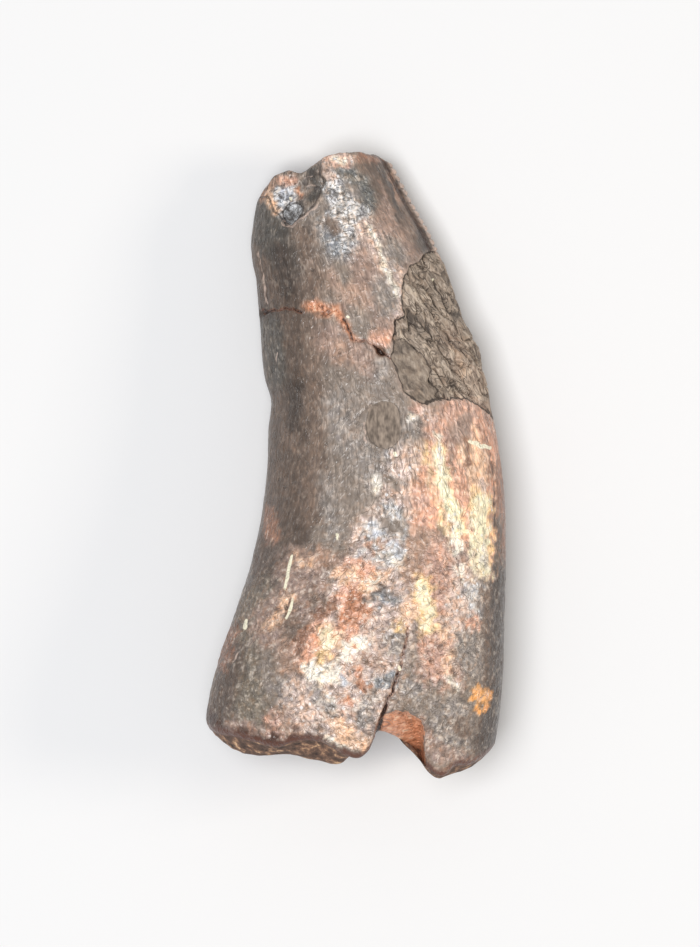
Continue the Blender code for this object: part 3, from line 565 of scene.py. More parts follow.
    ("ash", 0.7, 0.8, ((7.4, -11.8), (7.6, -13.2))),
    ("salmon", 0.25, 0.3, ((7.6, -10.2), (7.8, -10.7))),
    ("rust", 0.1, 0.3, ((8.7, -8.8), (8.8, -9.1))),
    ("rosy", 0.5, 0.6, ((4.2, -17.4), (4.8, -18.6))),
    ("ash", 0.8, 1.0, ((6.2, -16.6), (6.6, -18.8))),
    ("rosy", 0.4, 0.6, ((5.4, -19.2), (6.8, -19.4))),
    ("brown", 0.3, 0.5, ((6.8, -17.1), (7.2, -17.6))),
    # Painted shade down the convex edge, where the side turns away from the light.
    ("brown", 0.2, 0.7, ((8.8, -8.6), (8.8, -13.6), (8.5, -18.6))),
    ("umber", 0.7, 0.6, ((9.4, -15.8), (9.1, -17.4), (8.6, -18.8))),
    ("ink", 0.6, 0.6, ((9.9, -7.4), (9.8, -12.0), (9.5, -15.6), (9.0, -18.4))),
    ("amber", 0.5, 0.25, ((8.2, -15.3), (8.35, -15.75))),
    ("peach", 0.14, 0.25, ((8.3, -15.4), (8.4, -15.8))),
    ("ash", 0.3, 0.5, ((0.4, -16.0), (0.6, -16.6))),
    # Last painted highlights: near the crest of the lower half and on a yellow strip.
    ("ice", 0.25, 0.4, ((2.3, -5.3), (2.6, -5.9))),
    ("cream", 0.22, 0.35, ((6.6, -4.9), (6.9, -5.6))),
    ("sienna", 0.2, 0.3, ((5.2, -20.6), (6.6, -20.5), (8.0, -19.9))),
)

# Where raw dentine shows: (how much of it, half width, soft edge, (x, y) points).
RAW_STROKES = (
    # Beside the crack.
    (0.6, 0.2, 0.45, ((-3.1, 10.45), (-2.0, 10.4), (-1.2, 10.2))),
    (0.95, 0.15, 0.4, ((-2.5, 10.4), (-1.9, 10.3))),
    (0.6, 0.1, 0.25, ((-0.9, 9.8), (-0.5, 8.9))),
    (0.4, 0.15, 0.4, ((1.4, 8.5), (1.8, 8.1))),
    # In the chip.
    (0.42, 0.12, 0.3, ((-5.6, 19.1), (-4.8, 19.4), (-4.3, 19.2))),
    (0.6, 0.1, 0.15, ((-3.9, 18.4), (-3.75, 18.35))),
    # On the two long edges, and below the flaked place.
    (0.4, 0.15, 0.4, ((9.4, 2.2), (9.5, 0.4), (9.5, -1.6))),
    (0.4, 0.2, 0.4, ((-5.7, -3.5), (-5.6, -4.8))),
    (0.4, 0.2, 0.3, ((-2.6, -11.4), (-3.3, -12.8))),
)

# The hidden far side: brown enamel, darker to the concave edge, with worn lighter and warmer places.
FAR_GROUND_TINT = "brown"
FAR_STROKES = (
    ("umber", 1.6, 1.4, ((-6.0, 16.0), (-5.4, 8.0), (-5.0, 0.0), (-6.0, -8.0), (-8.6, -15.0))),
    ("drab", 1.8, 1.6, ((0.6, 18.0), (1.4, 10.0), (2.2, 2.0), (2.0, -6.0))),
    ("ash", 0.8, 1.2, ((0.4, 15.0), (1.2, 11.0))),
    ("rosy", 1.4, 1.4, ((4.6, 4.0), (5.4, -3.0), (4.4, -9.0))),
    ("tan", 0.7, 0.9, ((6.6, 2.0), (7.2, -3.0), (6.8, -6.0))),
    ("shell", 0.4, 0.7, ((5.6, -2.0), (5.9, -5.0))),
    ("sienna", 0.8, 0.9, ((-1.6, -8.6), (-2.6, -11.0))),
    ("tan", 0.6, 0.8, ((-0.6, -12.6), (-2.0, -14.0))),
    ("ash", 1.0, 1.2, ((1.2, -12.0), (2.6, -15.6))),
    ("olive", 1.2, 1.2, ((-6.0, -12.0), (-6.4, -15.6))),
    ("umber", 0.5, 0.8, ((9.4, -6.0), (9.4, -16.0))),
    ("ink", 0.4, 0.8, ((-8.8, -17.0), (-4.0, -18.4))),
)

# Oval stain, very slightly sunk: (x, y).
STAIN_OUTLINE = ((2.75, 3.75), (2.35, 4.1), (1.7, 4.2), (1.1, 3.95), (0.75, 3.4), (0.62, 2.7), (0.68, 2.0),
                 (0.9, 1.5), (1.4, 1.15), (2.0, 1.0), (2.6, 1.35), (2.95, 1.9), (3.0, 2.6), (2.9, 3.2))
STAIN_DEPTH = 0.05


def smooth_curve(points, at):
    """Smooth curve through points, read at the given places along its first coordinate."""
    knots, values = np.array(points).T
    slopes = np.gradient(values, knots)
    piece = np.clip(np.searchsorted(knots, at) - 1, 0, len(knots) - 2)
    span = knots[piece + 1] - knots[piece]
    share = np.clip((at - knots[piece]) / span, 0.0, 1.0)
    rest = 1.0 - share
    start = values[piece] * (1.0 + 2.0 * share) + slopes[piece] * span * share
    end = values[piece + 1] * (1.0 + 2.0 * rest) - slopes[piece + 1] * span * rest
    return start * rest ** 2 + end * share ** 2


def ramp(low, high, value):
    """0 below low, 1 above high, and a soft step between them."""
    share = np.clip((value - low) / (high - low), 0.0, 1.0)
    return share * share * (3.0 - 2.0 * share)


def to_segment(x, y, start, end):
    """Distance from each place to one straight segment, and the share along it of the nearest point."""
    run = end[0] - start[0]
    rise = end[1] - start[1]
    share = np.clip(((x - start[0]) * run + (y - start[1]) * rise) / (run * run + rise * rise), 0.0, 1.0)
    return np.hypot(x - start[0] - share * run, y - start[1] - share * rise), share


def line_distance(x, y, line):
    """Distance from each place to an open line."""
    return np.min([to_segment(x, y, start, end)[0] for start, end in zip(line, line[1:])], axis=0)


def edge_distance(x, y, outline):
    """Distance in from the edge of a closed outline, negative outside it."""
    within = np.zeros(np.shape(x), dtype=bool)
    for start, end in zip(outline, outline[1:] + outline[:1]):
        if start[1] != end[1]:
            edge_x = start[0] + (y - start[1]) / (end[1] - start[1]) * (end[0] - start[0])
            within ^= ((start[1] > y) != (end[1] > y)) & (x < edge_x)
    distance = line_distance(x, y, outline + outline[:1])
    return np.where(within, distance, -distance)


def inside(x, y, outline, low, high):
    """Soft mask of a closed outline, rising from low to high as the distance in from its edge grows."""
    return ramp(low, high, edge_distance(x, y, outline))


def line_gap(x, y, lines):
    """Distance from the nearest of some lines of changing width, negative inside the line."""
    gap = np.full(np.shape(x), NOWHERE_NEAR)
    for line in lines:
        for start, end in zip(line, line[1:]):
            away, share = to_segment(x, y, start, end)
            gap = np.minimum(gap, away - start[2] - share * (end[2] - start[2]))
    return gap


def round_pit(x, y, centre, radius):
    """1 in the middle of a round pit and 0 outside it, with a soft wall about its radius."""
    return 1.0 - ramp(0.4 * radius, 1.3 * radius, np.hypot(x - centre[0], y - centre[1]))


def grain(x, y, z, name):
    """Smooth seeded noise from -1 to 1, with the lump size and the seed of that name in GRAINS."""
    size, seed = GRAINS[name]
    places = np.stack(np.broadcast_arrays(x, y, z), axis=-1).reshape(-1, 3) / size + seed * SEED_STEP
    values = np.array([noise.noise(place) for place in places.tolist()])
    return values.reshape(np.broadcast_shapes(np.shape(x), np.shape(y), np.shape(z)))


def crest_height(y):
    """Height of the section's top, before the worn flat is taken off its underside."""
    return smooth_curve(CREST_HEIGHT, y) + REST_FLAT


def keel_setback(y):
    """How far the body lies behind the keel's crest, easing out below the last serration."""
    return KEEL_HEIGHT * ramp(SERRATION_FIRST_Y - KEEL_FADE, SERRATION_FIRST_Y, y)


def serration_tops(y):
    """0 in the gaps between serrations and 1 on their rounded tops; 1 where the keel is plain."""
    gap_below = SERRATION_FIRST_Y - SERRATION_PITCH_Y / 2.0
    round_top = np.sqrt(np.abs(np.cos(math.pi * (y - SERRATION_FIRST_Y) / SERRATION_PITCH_Y)))
    return np.where(y > gap_below, round_top, 1.0)


def keel_crest(y):
    """How far the keel stands out of the body, cut into rounded serrations up to the tip."""
    last = SERRATION_FIRST_Y + SERRATION_PITCH_Y * (SERRATION_COUNT - 1)
    height = 1.0 - SERRATION_GAP * (1.0 - serration_tops(y))
    return keel_setback(y) * height * (1.0 - ramp(last, last + SERRATION_PITCH_Y, y))


def plain_section(y, angle):
    """The unworn oval section: its place and its outward direction at each angle."""
    convex = smooth_curve(CONVEX_EDGE, y) - keel_setback(y)
    concave = smooth_curve(CONCAVE_EDGE, y)
    half_width = (convex - concave) / 2.0
    carina = crest_height(y) * CARINA_SHARE
    upward = np.sin(angle)
    outward = np.cos(angle)
    lowest = UNDERSIDE_ARCH * (1.0 - ramp(ARCH_FROM_Y, ARCH_TO_Y, np.abs(y)))
    half_height = np.where(upward > 0.0, crest_height(y) - carina, carina - lowest)
    pointed = ramp(ROUND_UP_TO_Y, POINTED_FROM_Y, y)
    rise = np.abs(upward) ** (BASE_POINTEDNESS + (TIP_POINTEDNESS - BASE_POINTEDNESS) * pointed)
    x = (convex + concave) / 2.0 + half_width * (outward + CREST_SHIFT * upward ** 2)
    z = carina + half_height * np.sign(upward) * rise
    length = np.hypot(outward / half_width, upward / half_height)
    return x, z, outward / half_width / length, upward / half_height / length


def crack_mask(gap):
    """1 along the middle of a crack and 0 away from it."""
    return 1.0 - ramp(*CRACK_EDGE, gap)


def patch_edge(x, y, z):
    """Distance in from the spalled patch's ragged edge, negative outside it."""
    shift = PATCH_RAGGEDNESS * grain(x, y, z, "patch edge")
    return edge_distance(x + shift, y - shift, SPALLED_PATCH)


def patch_floor(x, y, z):
    """Roughness of the spalled patch, deeper where positive: streaks and pits, smoother on its flap."""
    flap = inside(x, y, PATCH_FLAP, EDGE_START, FLAP_EDGE)
    along = x * math.cos(STREAK_TURN) + y * math.sin(STREAK_TURN)
    across = x * math.sin(STREAK_TURN) - y * math.cos(STREAK_TURN)
    streaks = grain(across, along / STREAK_STRETCH, z / STREAK_STRETCH, "patch streak")
    lumps = grain(x, y, z, "patch lump")
    bend = CREVICE_BEND * grain(x, y, z, "patch bend")
    drawn_out = (along + bend) / CREVICE_STRETCH
    from_crevice = np.abs(grain(across + bend, drawn_out, z / CREVICE_STRETCH, "patch crevice"))
    crevices = CREVICE_DEPTH * (1.0 - ramp(0.0, CREVICE_WIDTH, from_crevice))
    return (1.0 - FLAP_SMOOTHNESS * flap) * (streaks + lumps + crevices - FLOOR_LEVEL)


def patch_depth(x, y, z):
    """Depth of the spalled patch, running out at the cutting edge."""
    feather = ramp(0.0, PATCH_FEATHER, smooth_curve(CONVEX_EDGE, y) - x)
    flap_edge = np.exp(-(edge_distance(x, y, PATCH_FLAP) / FLAP_EDGE) ** 2)
    raised = FLAP_HEIGHT * inside(x, y, PATCH_FLAP, EDGE_START, THIN_EDGE)
    depth = PATCH_DEPTH * feather - raised + FLAP_GROOVE * flap_edge
    return depth + PATCH_ROUGHNESS * (0.5 + 0.5 * feather) * patch_floor(x, y, z)


def chip_depth(x, y):
    """Depth of the chips and flakes that are cut straight down into the near side."""
    facets = np.abs(grain(x, y, 0.0, "chip floor"))
    scar = SCAR_STEP * inside(x, y, CHIP_SCAR, EDGE_START, BREAK_EDGE)
    scar = scar + SCAR_DEPTH * inside(x, y, CHIP_SCAR, 0.0, SCAR_REACH)
    scar = scar + SCAR_PIT_DEPTH * inside(x, y, SCAR_PIT, EDGE_START, WIDE_EDGE)
    scar = scar + SCAR_ROUGHNESS * inside(x, y, CHIP_SCAR, 0.0, WIDE_EDGE) * facets
    notch = NOTCH_STEP + NOTCH_SLOPE * np.clip(NOTCH_TOP_Y - y, 0.0, None)
    notch = notch * inside(x, y, NOTCH_FACET, EDGE_START, BREAK_EDGE)
    flakes = inside(x, y, ENAMEL_FLAKE, EDGE_START, BREAK_EDGE)
    flakes = flakes + inside(x, y, PLATE_FLAKE, EDGE_START, BREAK_EDGE)
    return scar + notch + FLAKE_DEPTH * flakes + CRACK_DEPTH * round_pit(x, y, CRACK_PIT, CRACK_PIT_RADIUS)


def surface_relief(x, y, z, straight_x):
    """Fine lumps, striae, crinkles and pimples of the enamel, as a height."""
    toward_tip = ramp(CRINKLES_START_Y, CRINKLES_FULL_Y, y)
    toward_base = 1.0 - ramp(PIMPLES_FADE_Y, PIMPLES_GONE_Y, y)
    lumps = LUMP_HEIGHT * grain(x, y, z, "lump")
    pimples = (PIMPLE_HEIGHT + BASE_PIMPLE_HEIGHT * toward_base) * grain(x, y, z, "pimple")
    striae = STRIA_HEIGHT * grain(straight_x, y / STRIA_STRETCH, z, "stria")
    fold = CRINKLE_TOP - np.abs(grain(x, y / CRINKLE_STRETCH, z, "crinkle"))
    return lumps + pimples + striae + CRINKLE_HEIGHT * toward_tip * fold


def skin(y, angle, from_break):
    """The tooth's surface at each height and angle, from_break away from the nearer broken end.

    Gives its x and z, and by name the sides, gaps and edges that the paint needs too.
    """
    x, z, normal_x, normal_z = plain_section(y, angle)
    straight_x = x - (smooth_curve(CONVEX_EDGE, y) + smooth_curve(CONCAVE_EDGE, y)) / 2.0
    upward = np.sin(angle)
    near = ramp(0.0, SIDE_BLEND, upward)
    far = ramp(0.0, SIDE_BLEND, -upward)
    convex_half = np.cos(angle) > 0.0
    jagged_x = x + CRACK_JAGS * grain(x, y, z, "jag x")
    jagged_y = y + CRACK_JAGS * grain(x, y, z, "jag y")
    mark_x = (1.0 - MARK_JAGS) * x + MARK_JAGS * jagged_x
    mark_y = (1.0 - MARK_JAGS) * y + MARK_JAGS * jagged_y
    ragged = CRACK_RAGGEDNESS * grain(x, y, z, "ragged")
    near_gap = line_gap(jagged_x, jagged_y, NEAR_CRACKS) + ragged
    far_gap = line_gap(jagged_x, jagged_y, FAR_CRACKS) + ragged
    hair_gap = line_gap(jagged_x, jagged_y, HAIR_CRACKS) + 0.5 * ragged
    round_convex_edge = ramp(*PATCH_WRAP, upward) * ramp(0.0, PATCH_WRAP_START, np.cos(angle))
    spall_edge = patch_edge(x, y, z)
    on_patch_side = np.maximum(near, round_convex_edge)
    spall = on_patch_side * ramp(PATCH_EDGE_START, BREAK_EDGE, spall_edge)

    depth = CRACK_DEPTH * (near * crack_mask(near_gap) + far * crack_mask(far_gap))
    depth = depth + HAIR_DEPTH * near * crack_mask(hair_gap) + spall * patch_depth(x, y, z)
    depth = depth + STAIN_DEPTH * near * inside(x, y, STAIN_OUTLINE, EDGE_START, THIN_EDGE)
    depth = depth + EDGE_WEAR * np.exp(-from_break / EDGE_WEAR)
    depth = depth - (1.0 - PATCH_SMOOTHS_RELIEF * spall) * surface_relief(x, y, z, straight_x)

    off_keel = (z - crest_height(y) * CARINA_SHARE) / KEEL_HALF_WIDTH
    on_keel = np.exp(-off_keel ** 2) * convex_half
    keel = keel_crest(y) * on_keel
    serrated = ramp(SERRATION_FIRST_Y - SERRATION_PITCH_Y, SERRATION_FIRST_Y, y) * convex_half
    groove = serrated * ramp(*KEEL_GROOVE_INNER, off_keel) * (1.0 - ramp(*KEEL_GROOVE_OUTER, off_keel))
    depth = depth + KEEL_GROOVE_DEPTH * groove
    place_x = x - normal_x * depth + keel
    place_z = np.maximum(z - normal_z * depth - near * chip_depth(x, y), REST_FLAT) - REST_FLAT
    form = {"x": x, "z": z, "upward": upward, "near": near, "far": far,
            "near_gap": near_gap, "far_gap": far_gap, "hair_gap": hair_gap,
            "mark_gap": line_gap(mark_x, mark_y, LIGHT_MARKS) + 0.5 * ragged,
            "dim_gap": line_gap(jagged_x, jagged_y, DIM_MARKS) + ragged,
            "spall_edge": spall_edge, "on_patch_side": on_patch_side, "on_keel": on_keel, "groove": groove}
    return place_x, place_z, form


def base_break(x, z):
    """Height y of the broken base: set back under the enamel's edge, notched, rough and a little hollow."""
    enamel = smooth_curve(ENAMEL_RIM, x)
    lowest = smooth_curve(BASE_LINE, x)
    crest = smooth_curve(CREST_HEIGHT, lowest)
    middle = crest * CARINA_SHARE
    near_face = middle + (crest - middle) * np.sqrt(np.clip(1.0 - (x / BASE_HALF_WIDTH) ** 2, 0.0, 1.0))
    drop = ramp(0.0, BREAK_DROP, near_face - z)
    far = ramp(FAR_FROM * BREAK_DROP, FAR_TO * BREAK_DROP, near_face - z)
    y = enamel + (lowest - enamel) * drop
    y = y + (smooth_curve(FAR_BASE_LINE, x) - y) * far
    reach = np.hypot(x / HOLLOW_HALF_WIDTH, (z - middle) / HOLLOW_HALF_HEIGHT)
    y = y + HOLLOW_DEPTH * (1.0 - ramp(HOLLOW_FLOOR, 1.0, reach))
    rough = grain(x, 0.0, z, "base fine") + grain(x, 0.0, z, "base coarse")
    rough = rough + CRUMB_SHARE * grain(x, 0.0, z, "base crumb")
    return y + BREAK_ROUGHNESS * (NEAR_BASE_ROUGH_SHARE * drop + far) * rough


def tip_break(x, z):
    """Height y of the broken tip: highest along the near side and falling away to the far side."""
    highest = smooth_curve(TIP_LINE, x)
    crest = smooth_curve(CREST_HEIGHT, highest)
    fall = FAR_TIP_FALL * np.clip(1.0 - z / crest, 0.0, 1.0) ** FAR_TIP_CURVE
    rough = grain(x, 0.0, z, "tip fine") + CRUMB_SHARE * grain(x, 0.0, z, "tip crumb")
    return highest - fall + TIP_ROUGH_SHARE * BREAK_ROUGHNESS * rough


def meet(break_height, start, angle):
    """Height at which the sides meet a break, for each angle around the tooth."""
    y = np.full_like(angle, start)
    for _ in range(MEETING_ROUNDS):
        x, z, _form = skin(y, angle, 0.0)
        y = 0.5 * y + 0.5 * break_height(x, z)
    return y


def cap_loops(break_height, x_rim, y_rim, z_rim):
    """Loops from a rim in to the middle of its break, and the middle itself.

    What the rim is off the break's height fades out over the first loops.
    """
    middle_x = (x_rim.max() + x_rim.min()) / 2.0
    middle_z = (z_rim.max() + z_rim.min()) / 2.0
    misfit = y_rim - break_height(x_rim, z_rim)
    loops = []
    for loop in range(1, CAP_LOOPS):
        share = 1.0 - loop / CAP_LOOPS
        x = middle_x + share * (x_rim - middle_x)
        z = middle_z + share * (z_rim - middle_z)
        loops.append((x, break_height(x, z) + misfit * share ** MISFIT_FADE, z))
    middle_y = float(break_height(np.array(middle_x), np.array(middle_z)))
    return loops, (middle_x, middle_y, middle_z)


def column_angles():
    """Angles around the tooth: closer together on the near side, and closest over its crest."""
    near = np.linspace(0.0, math.pi, NEAR_COLUMNS, endpoint=False)
    near = near + CREST_CROWDING * np.sin(2.0 * near)
    far = np.linspace(math.pi, 2.0 * math.pi, COLUMNS - NEAR_COLUMNS, endpoint=False)
    return np.concatenate([near, far])


def ring_shares():
    """Places of the rings from base to tip, closer together along the serrations."""
    even = np.linspace(0.0, 1.0, RINGS)
    return np.interp(even, (0.0, 1.0 - TIP_RINGS_SHARE, 1.0), (0.0, 1.0 - TIP_LENGTH_SHARE, 1.0))


def ring_faces(ring_count):
    """Quads between neighbouring rings, and a fan of triangles at each end of the stack."""
    beside = [(column + 1) % COLUMNS for column in range(COLUMNS)]
    faces = []
    for ring in range(ring_count - 1):
        below = ring * COLUMNS
        above = below + COLUMNS
        for column in range(COLUMNS):
            faces.append((above + column, above + beside[column], below + beside[column], below + column))
    last = (ring_count - 1) * COLUMNS
    base_middle = ring_count * COLUMNS
    for column in range(COLUMNS):
        faces.append((column, beside[column], base_middle))
        faces.append((last + beside[column], last + column, base_middle + 1))
    return faces


def cover(x, y, half_width, soft_edge, points):
    """How much of each place a stroke along those points covers."""
    solid_width = half_width - STROKE_EDGE_INSIDE * soft_edge
    return 1.0 - ramp(solid_width, half_width + soft_edge, line_distance(x, y, points))


def painted(x, y, ground, strokes):
    """Tint of each place after the strokes laid over the ground: red, green and blue, and its shine."""
    field = np.zeros(np.shape(x) + (4,)) + TINTS[ground]
    for tint, half_width, soft_edge, points in strokes:
        field += (TINTS[tint] - field) * cover(x, y, half_width, soft_edge, points)[..., None]
    return (field[..., :3] / SCREEN_WHITE) ** SCREEN_GAMMA, field[..., 3]


def raw_share(x, y):
    """How much of the raw salmon dentine shows."""
    share = np.zeros(np.shape(x))
    for value, half_width, soft_edge, points in RAW_STROKES:
        share = np.maximum(share, value * cover(x, y, half_width, soft_edge, points))
    return share


def only_on(side, distance):
    """Distance in from an edge, kept on one side of the tooth and well outside on the other."""
    return side * distance - WELL_AWAY * (1.0 - side)


def gap_on(side, gap):
    """Distance from a line, kept on one side of the tooth and well away on the other."""
    return gap + WELL_AWAY * (1.0 - side)


def side_fields(y, form, from_base):
    """What the finish needs to know at each place of the sides: shares from 0 to 1, and distances."""
    x, z, near, far = form["x"], form["z"], form["near"], form["far"]
    lower = 1.0 - ramp(-BASE_ZONE_Y, BASE_ZONE_Y, y)
    shiver_x = (SHIVER_X + BASE_SHIVER_X * lower) * grain(x, y, z, "shiver x")
    shiver_y = (SHIVER_Y + BASE_SHIVER_Y * lower) * grain(x, y, z, "shiver y")
    wander_x = x + WANDER_X * grain(x, y, z, "wander x") + shiver_x
    wander_y = y + WANDER_Y * grain(x, y, z, "wander y") + shiver_y
    near_tint, near_shine = painted(wander_x, wander_y, GROUND_TINT, STROKES)
    far_tint, far_shine = painted(wander_x, wander_y, FAR_GROUND_TINT, FAR_STROKES)
    border = PAINT_BORDER_WANDER * grain(x, y, z, "paint border")
    near_paint = ramp(*PAINT_WRAP, form["upward"] + border)
    near_share = near_paint[..., None]
    serration_gap = form["on_keel"] * (keel_crest(y) > KEEL_SEEN_FROM) * (1.0 - serration_tops(y))
    return {
        "tint": near_share * near_tint + (1.0 - near_share) * far_tint,
        "shine": near_paint * near_shine + (1.0 - near_paint) * far_shine,
        "spall": only_on(form["on_patch_side"], form["spall_edge"]),
        "flap": only_on(near, edge_distance(x, y, PATCH_FLAP)),
        "hollow": patch_floor(x, y, z),
        "scar": only_on(near, edge_distance(x, y, CHIP_SCAR)),
        "notch": only_on(near, edge_distance(x, y, NOTCH_FACET)),
        "stain": only_on(near, edge_distance(x, y, STAIN_OUTLINE)),
        "crack": np.minimum(gap_on(near, form["near_gap"]), gap_on(far, form["far_gap"])),
        "hair": gap_on(near, form["hair_gap"]),
        "mark": gap_on(near, form["mark_gap"]),
        "dim": gap_on(near, form["dim_gap"]),
        "pit": only_on(near, edge_distance(x, y, SCAR_PIT)),
        "raw": near * raw_share(wander_x, wander_y),
        "keel": form["on_keel"] * (keel_crest(y) / KEEL_HEIGHT),
        "gap": np.maximum(serration_gap, form["groove"]),
        "base_rim": from_base,
        "broken": np.zeros_like(x),
    }


# What the fields are on the broken ends themselves: outside every edge and away from every line.
BREAK_FIELDS = {"tint": 0.1, "broken": 1.0,
                **dict.fromkeys(("spall", "flap", "scar", "notch", "stain", "pit"), -WELL_AWAY),
                **dict.fromkeys(("crack", "hair", "mark", "dim"), WELL_AWAY)}


def fine_tooth_mesh():
    """The crown's fine surface, with the fields its finish needs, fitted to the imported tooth's box."""
    angle = column_angles()
    base_y = meet(base_break, BASE_MEETING_Y, angle)
    tip_y = meet(tip_break, TIP_MEETING_Y, angle)
    y = base_y + (tip_y - base_y) * ring_shares()[:, None]
    from_base = y - base_y
    x, z, form = skin(y, angle[None, :], np.minimum(from_base, tip_y - y))
    base, base_middle = cap_loops(base_break, x[0], y[0], z[0])
    tip, tip_middle = cap_loops(tip_break, x[-1], y[-1], z[-1])
    rings = base[::-1] + list(zip(x, y, z)) + tip
    places = np.concatenate([np.stack(ring, axis=-1) for ring in rings] + [[base_middle, tip_middle]])
    mesh = bpy.data.meshes.new("tooth_surface")
    mesh.from_pydata((fit_to_box(places) * MM).tolist(), [], ring_faces(len(rings)))
    mesh.update()
    mesh.shade_smooth()
    sides_start = (CAP_LOOPS - 1) * COLUMNS
    for name, field in side_fields(y, form, from_base).items():
        values = np.full((len(places),) + field.shape[2:], BREAK_FIELDS.get(name, 0.0))
        values[sides_start:sides_start + y.size] = field.reshape((y.size,) + field.shape[2:])
        store(mesh, name, values)
    straight = places.copy()
    convex = smooth_curve(CONVEX_EDGE, places[:, 1])
    concave = smooth_curve(CONCAVE_EDGE, places[:, 1])
    straight[:, 0] = STRAIGHT_HALF_WIDTH * (2.0 * places[:, 0] - convex - concave) / (convex - concave)
    store(mesh, "straightened", straight)
    return mesh


def store(mesh, name, values):
    """Keeps a number, or three of them, for each point of the mesh."""
    kind, key = ("FLOAT", "value") if values.ndim == 1 else ("FLOAT_VECTOR", "vector")
    layer = mesh.attributes.new(name, kind, "POINT")
    layer.data.foreach_set(key, values.astype(np.float32).ravel())


def fit_to_box(places):
    """The places moved and shrunk by a hair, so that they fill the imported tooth's box and stay inside it."""
    low = places.min(axis=0)
    high = places.max(axis=0)
    box_low = np.array(low_corner) / MM
    box_high = np.array(high_corner) / MM
    return box_low + (places - low) / (high - low) * (box_high - box_low)


# Middle of the material's noises, and how strongly the enamel mirrors.
NOISE_MIDDLE = 0.5
ENAMEL_SPECULAR = 0.6

# Colour sockets of a mix node, whose names its other kinds of sockets share.
MIX_UNDER = 6
MIX_OVER = 7
MIXED = 2


class Finish:
    """One socket of a material, used in ordinary arithmetic."""

    def __init__(self, tree, socket=None):
        self.tree = tree
        self.socket = socket

    def node(self, kind, settings=None, inputs=None, output=0):
        """Adds a node: its settings are set first, and then the values or links of its sockets."""
        made = self.tree.nodes.new(kind)
        for name, value in (settings or {}).items():
            if name == "stops":
                stops = made.color_ramp.elements
                stops.remove(stops[1])
                stops[0].position, stops[0].color = value[0]
                for position, colour in value[1:]:
                    stops.new(position).color = colour
            else:
                setattr(made, name, value)
        for key, value in (inputs or {}).items():
            if isinstance(value, Finish):
                self.tree.links.new(value.socket, made.inputs[key])
            else:
                made.inputs[key].default_value = value
        return Finish(self.tree, made.outputs[output])

    def maths(self, operation, *values):
        """One step of arithmetic on sockets and numbers."""
        return self.node("ShaderNodeMath", {"operation": operation}, dict(enumerate(values)))

    def __add__(self, other):
        return self.maths("ADD", self, other)

    __radd__ = __add__

    def __sub__(self, other):
        return self.maths("SUBTRACT", self, other)

    def __rsub__(self, other):
        return self.maths("SUBTRACT", other, self)

    def __mul__(self, other):
        return self.maths("MULTIPLY", self, other)

    __rmul__ = __mul__

    def __abs__(self):
        return self.maths("ABSOLUTE", self)

    def swing(self, weight):
        """How far this noise is above or below its middle, weight times."""
        return weight * (self - NOISE_MIDDLE)

    def step(self, low, high):
        """0 at low and 1 at high, with a soft step between them."""
        return self.node("ShaderNodeMapRange", {"interpolation_type": "SMOOTHSTEP"},
                         {"Value": self, "From Min": low, "From Max": high})

    def shades(self, *stops):
        """The colour at this value along a ramp of colours."""
        return self.node("ShaderNodeValToRGB", {"stops": stops}, {"Fac": self})

    def under(self, colour, amount):
        """This colour with another laid over it, as strongly as amount says."""
        return self.node("ShaderNodeMix", {"data_type": "RGBA"},
                         {"Factor": amount, MIX_UNDER: self, MIX_OVER: colour}, output=MIXED)

    def moved(self, shift):
        """These coordinates, moved by an amount."""
        return self.node("ShaderNodeVectorMath", {"operation": "ADD"}, {0: self, 1: shift})

    def stretched(self, scale):
        """These coordinates, scaled along each axis."""
        return self.node("ShaderNodeVectorMath", {"operation": "MULTIPLY"}, {0: self, 1: scale})

    def turned(self, angle):
        """These coordinates, turned about the upright axis."""
        return self.node("ShaderNodeVectorRotate", {"rotation_type": "Z_AXIS"},
                         {"Vector": self, "Angle": angle})

    def grain(self, size, detail=2.0, roughness=0.5, distortion=0.0):
        """Noise about 0.5 at these coordinates, with lumps of about size millimetres."""
        return self.node("ShaderNodeTexNoise", {},
                         {"Vector": self, "Scale": 1.0 / size, "Detail": detail,
                          "Roughness": roughness, "Distortion": distortion})

    def tinted(self, colour):
        """This colour seen through another."""
        return self.stretched(colour)

    def lit(self, amount):
        """This colour made lighter or darker, amount times."""
        return self.node("ShaderNodeVectorMath", {"operation": "SCALE"}, {0: self, "Scale": amount})

    def power_of_e(self):
        """The number e to the power of this value."""
        return self.maths("EXPONENT", self)

    def bent(self, size, amount):
        """These coordinates, pushed about by noise with lumps of about size."""
        push = self.node("ShaderNodeTexNoise", {},
                         {"Vector": self, "Scale": 1.0 / size, "Detail": 1.0}, output="Color")
        return self.node("ShaderNodeVectorMath", {"operation": "MULTIPLY_ADD"},
                         {0: push, 1: (amount, amount, amount), 2: self})

    def cells(self, size):
        """Distance to the nearest of scattered points, in shares of their spacing."""
        return self.node("ShaderNodeTexVoronoi", {}, {"Vector": self, "Scale": 1.0 / size})


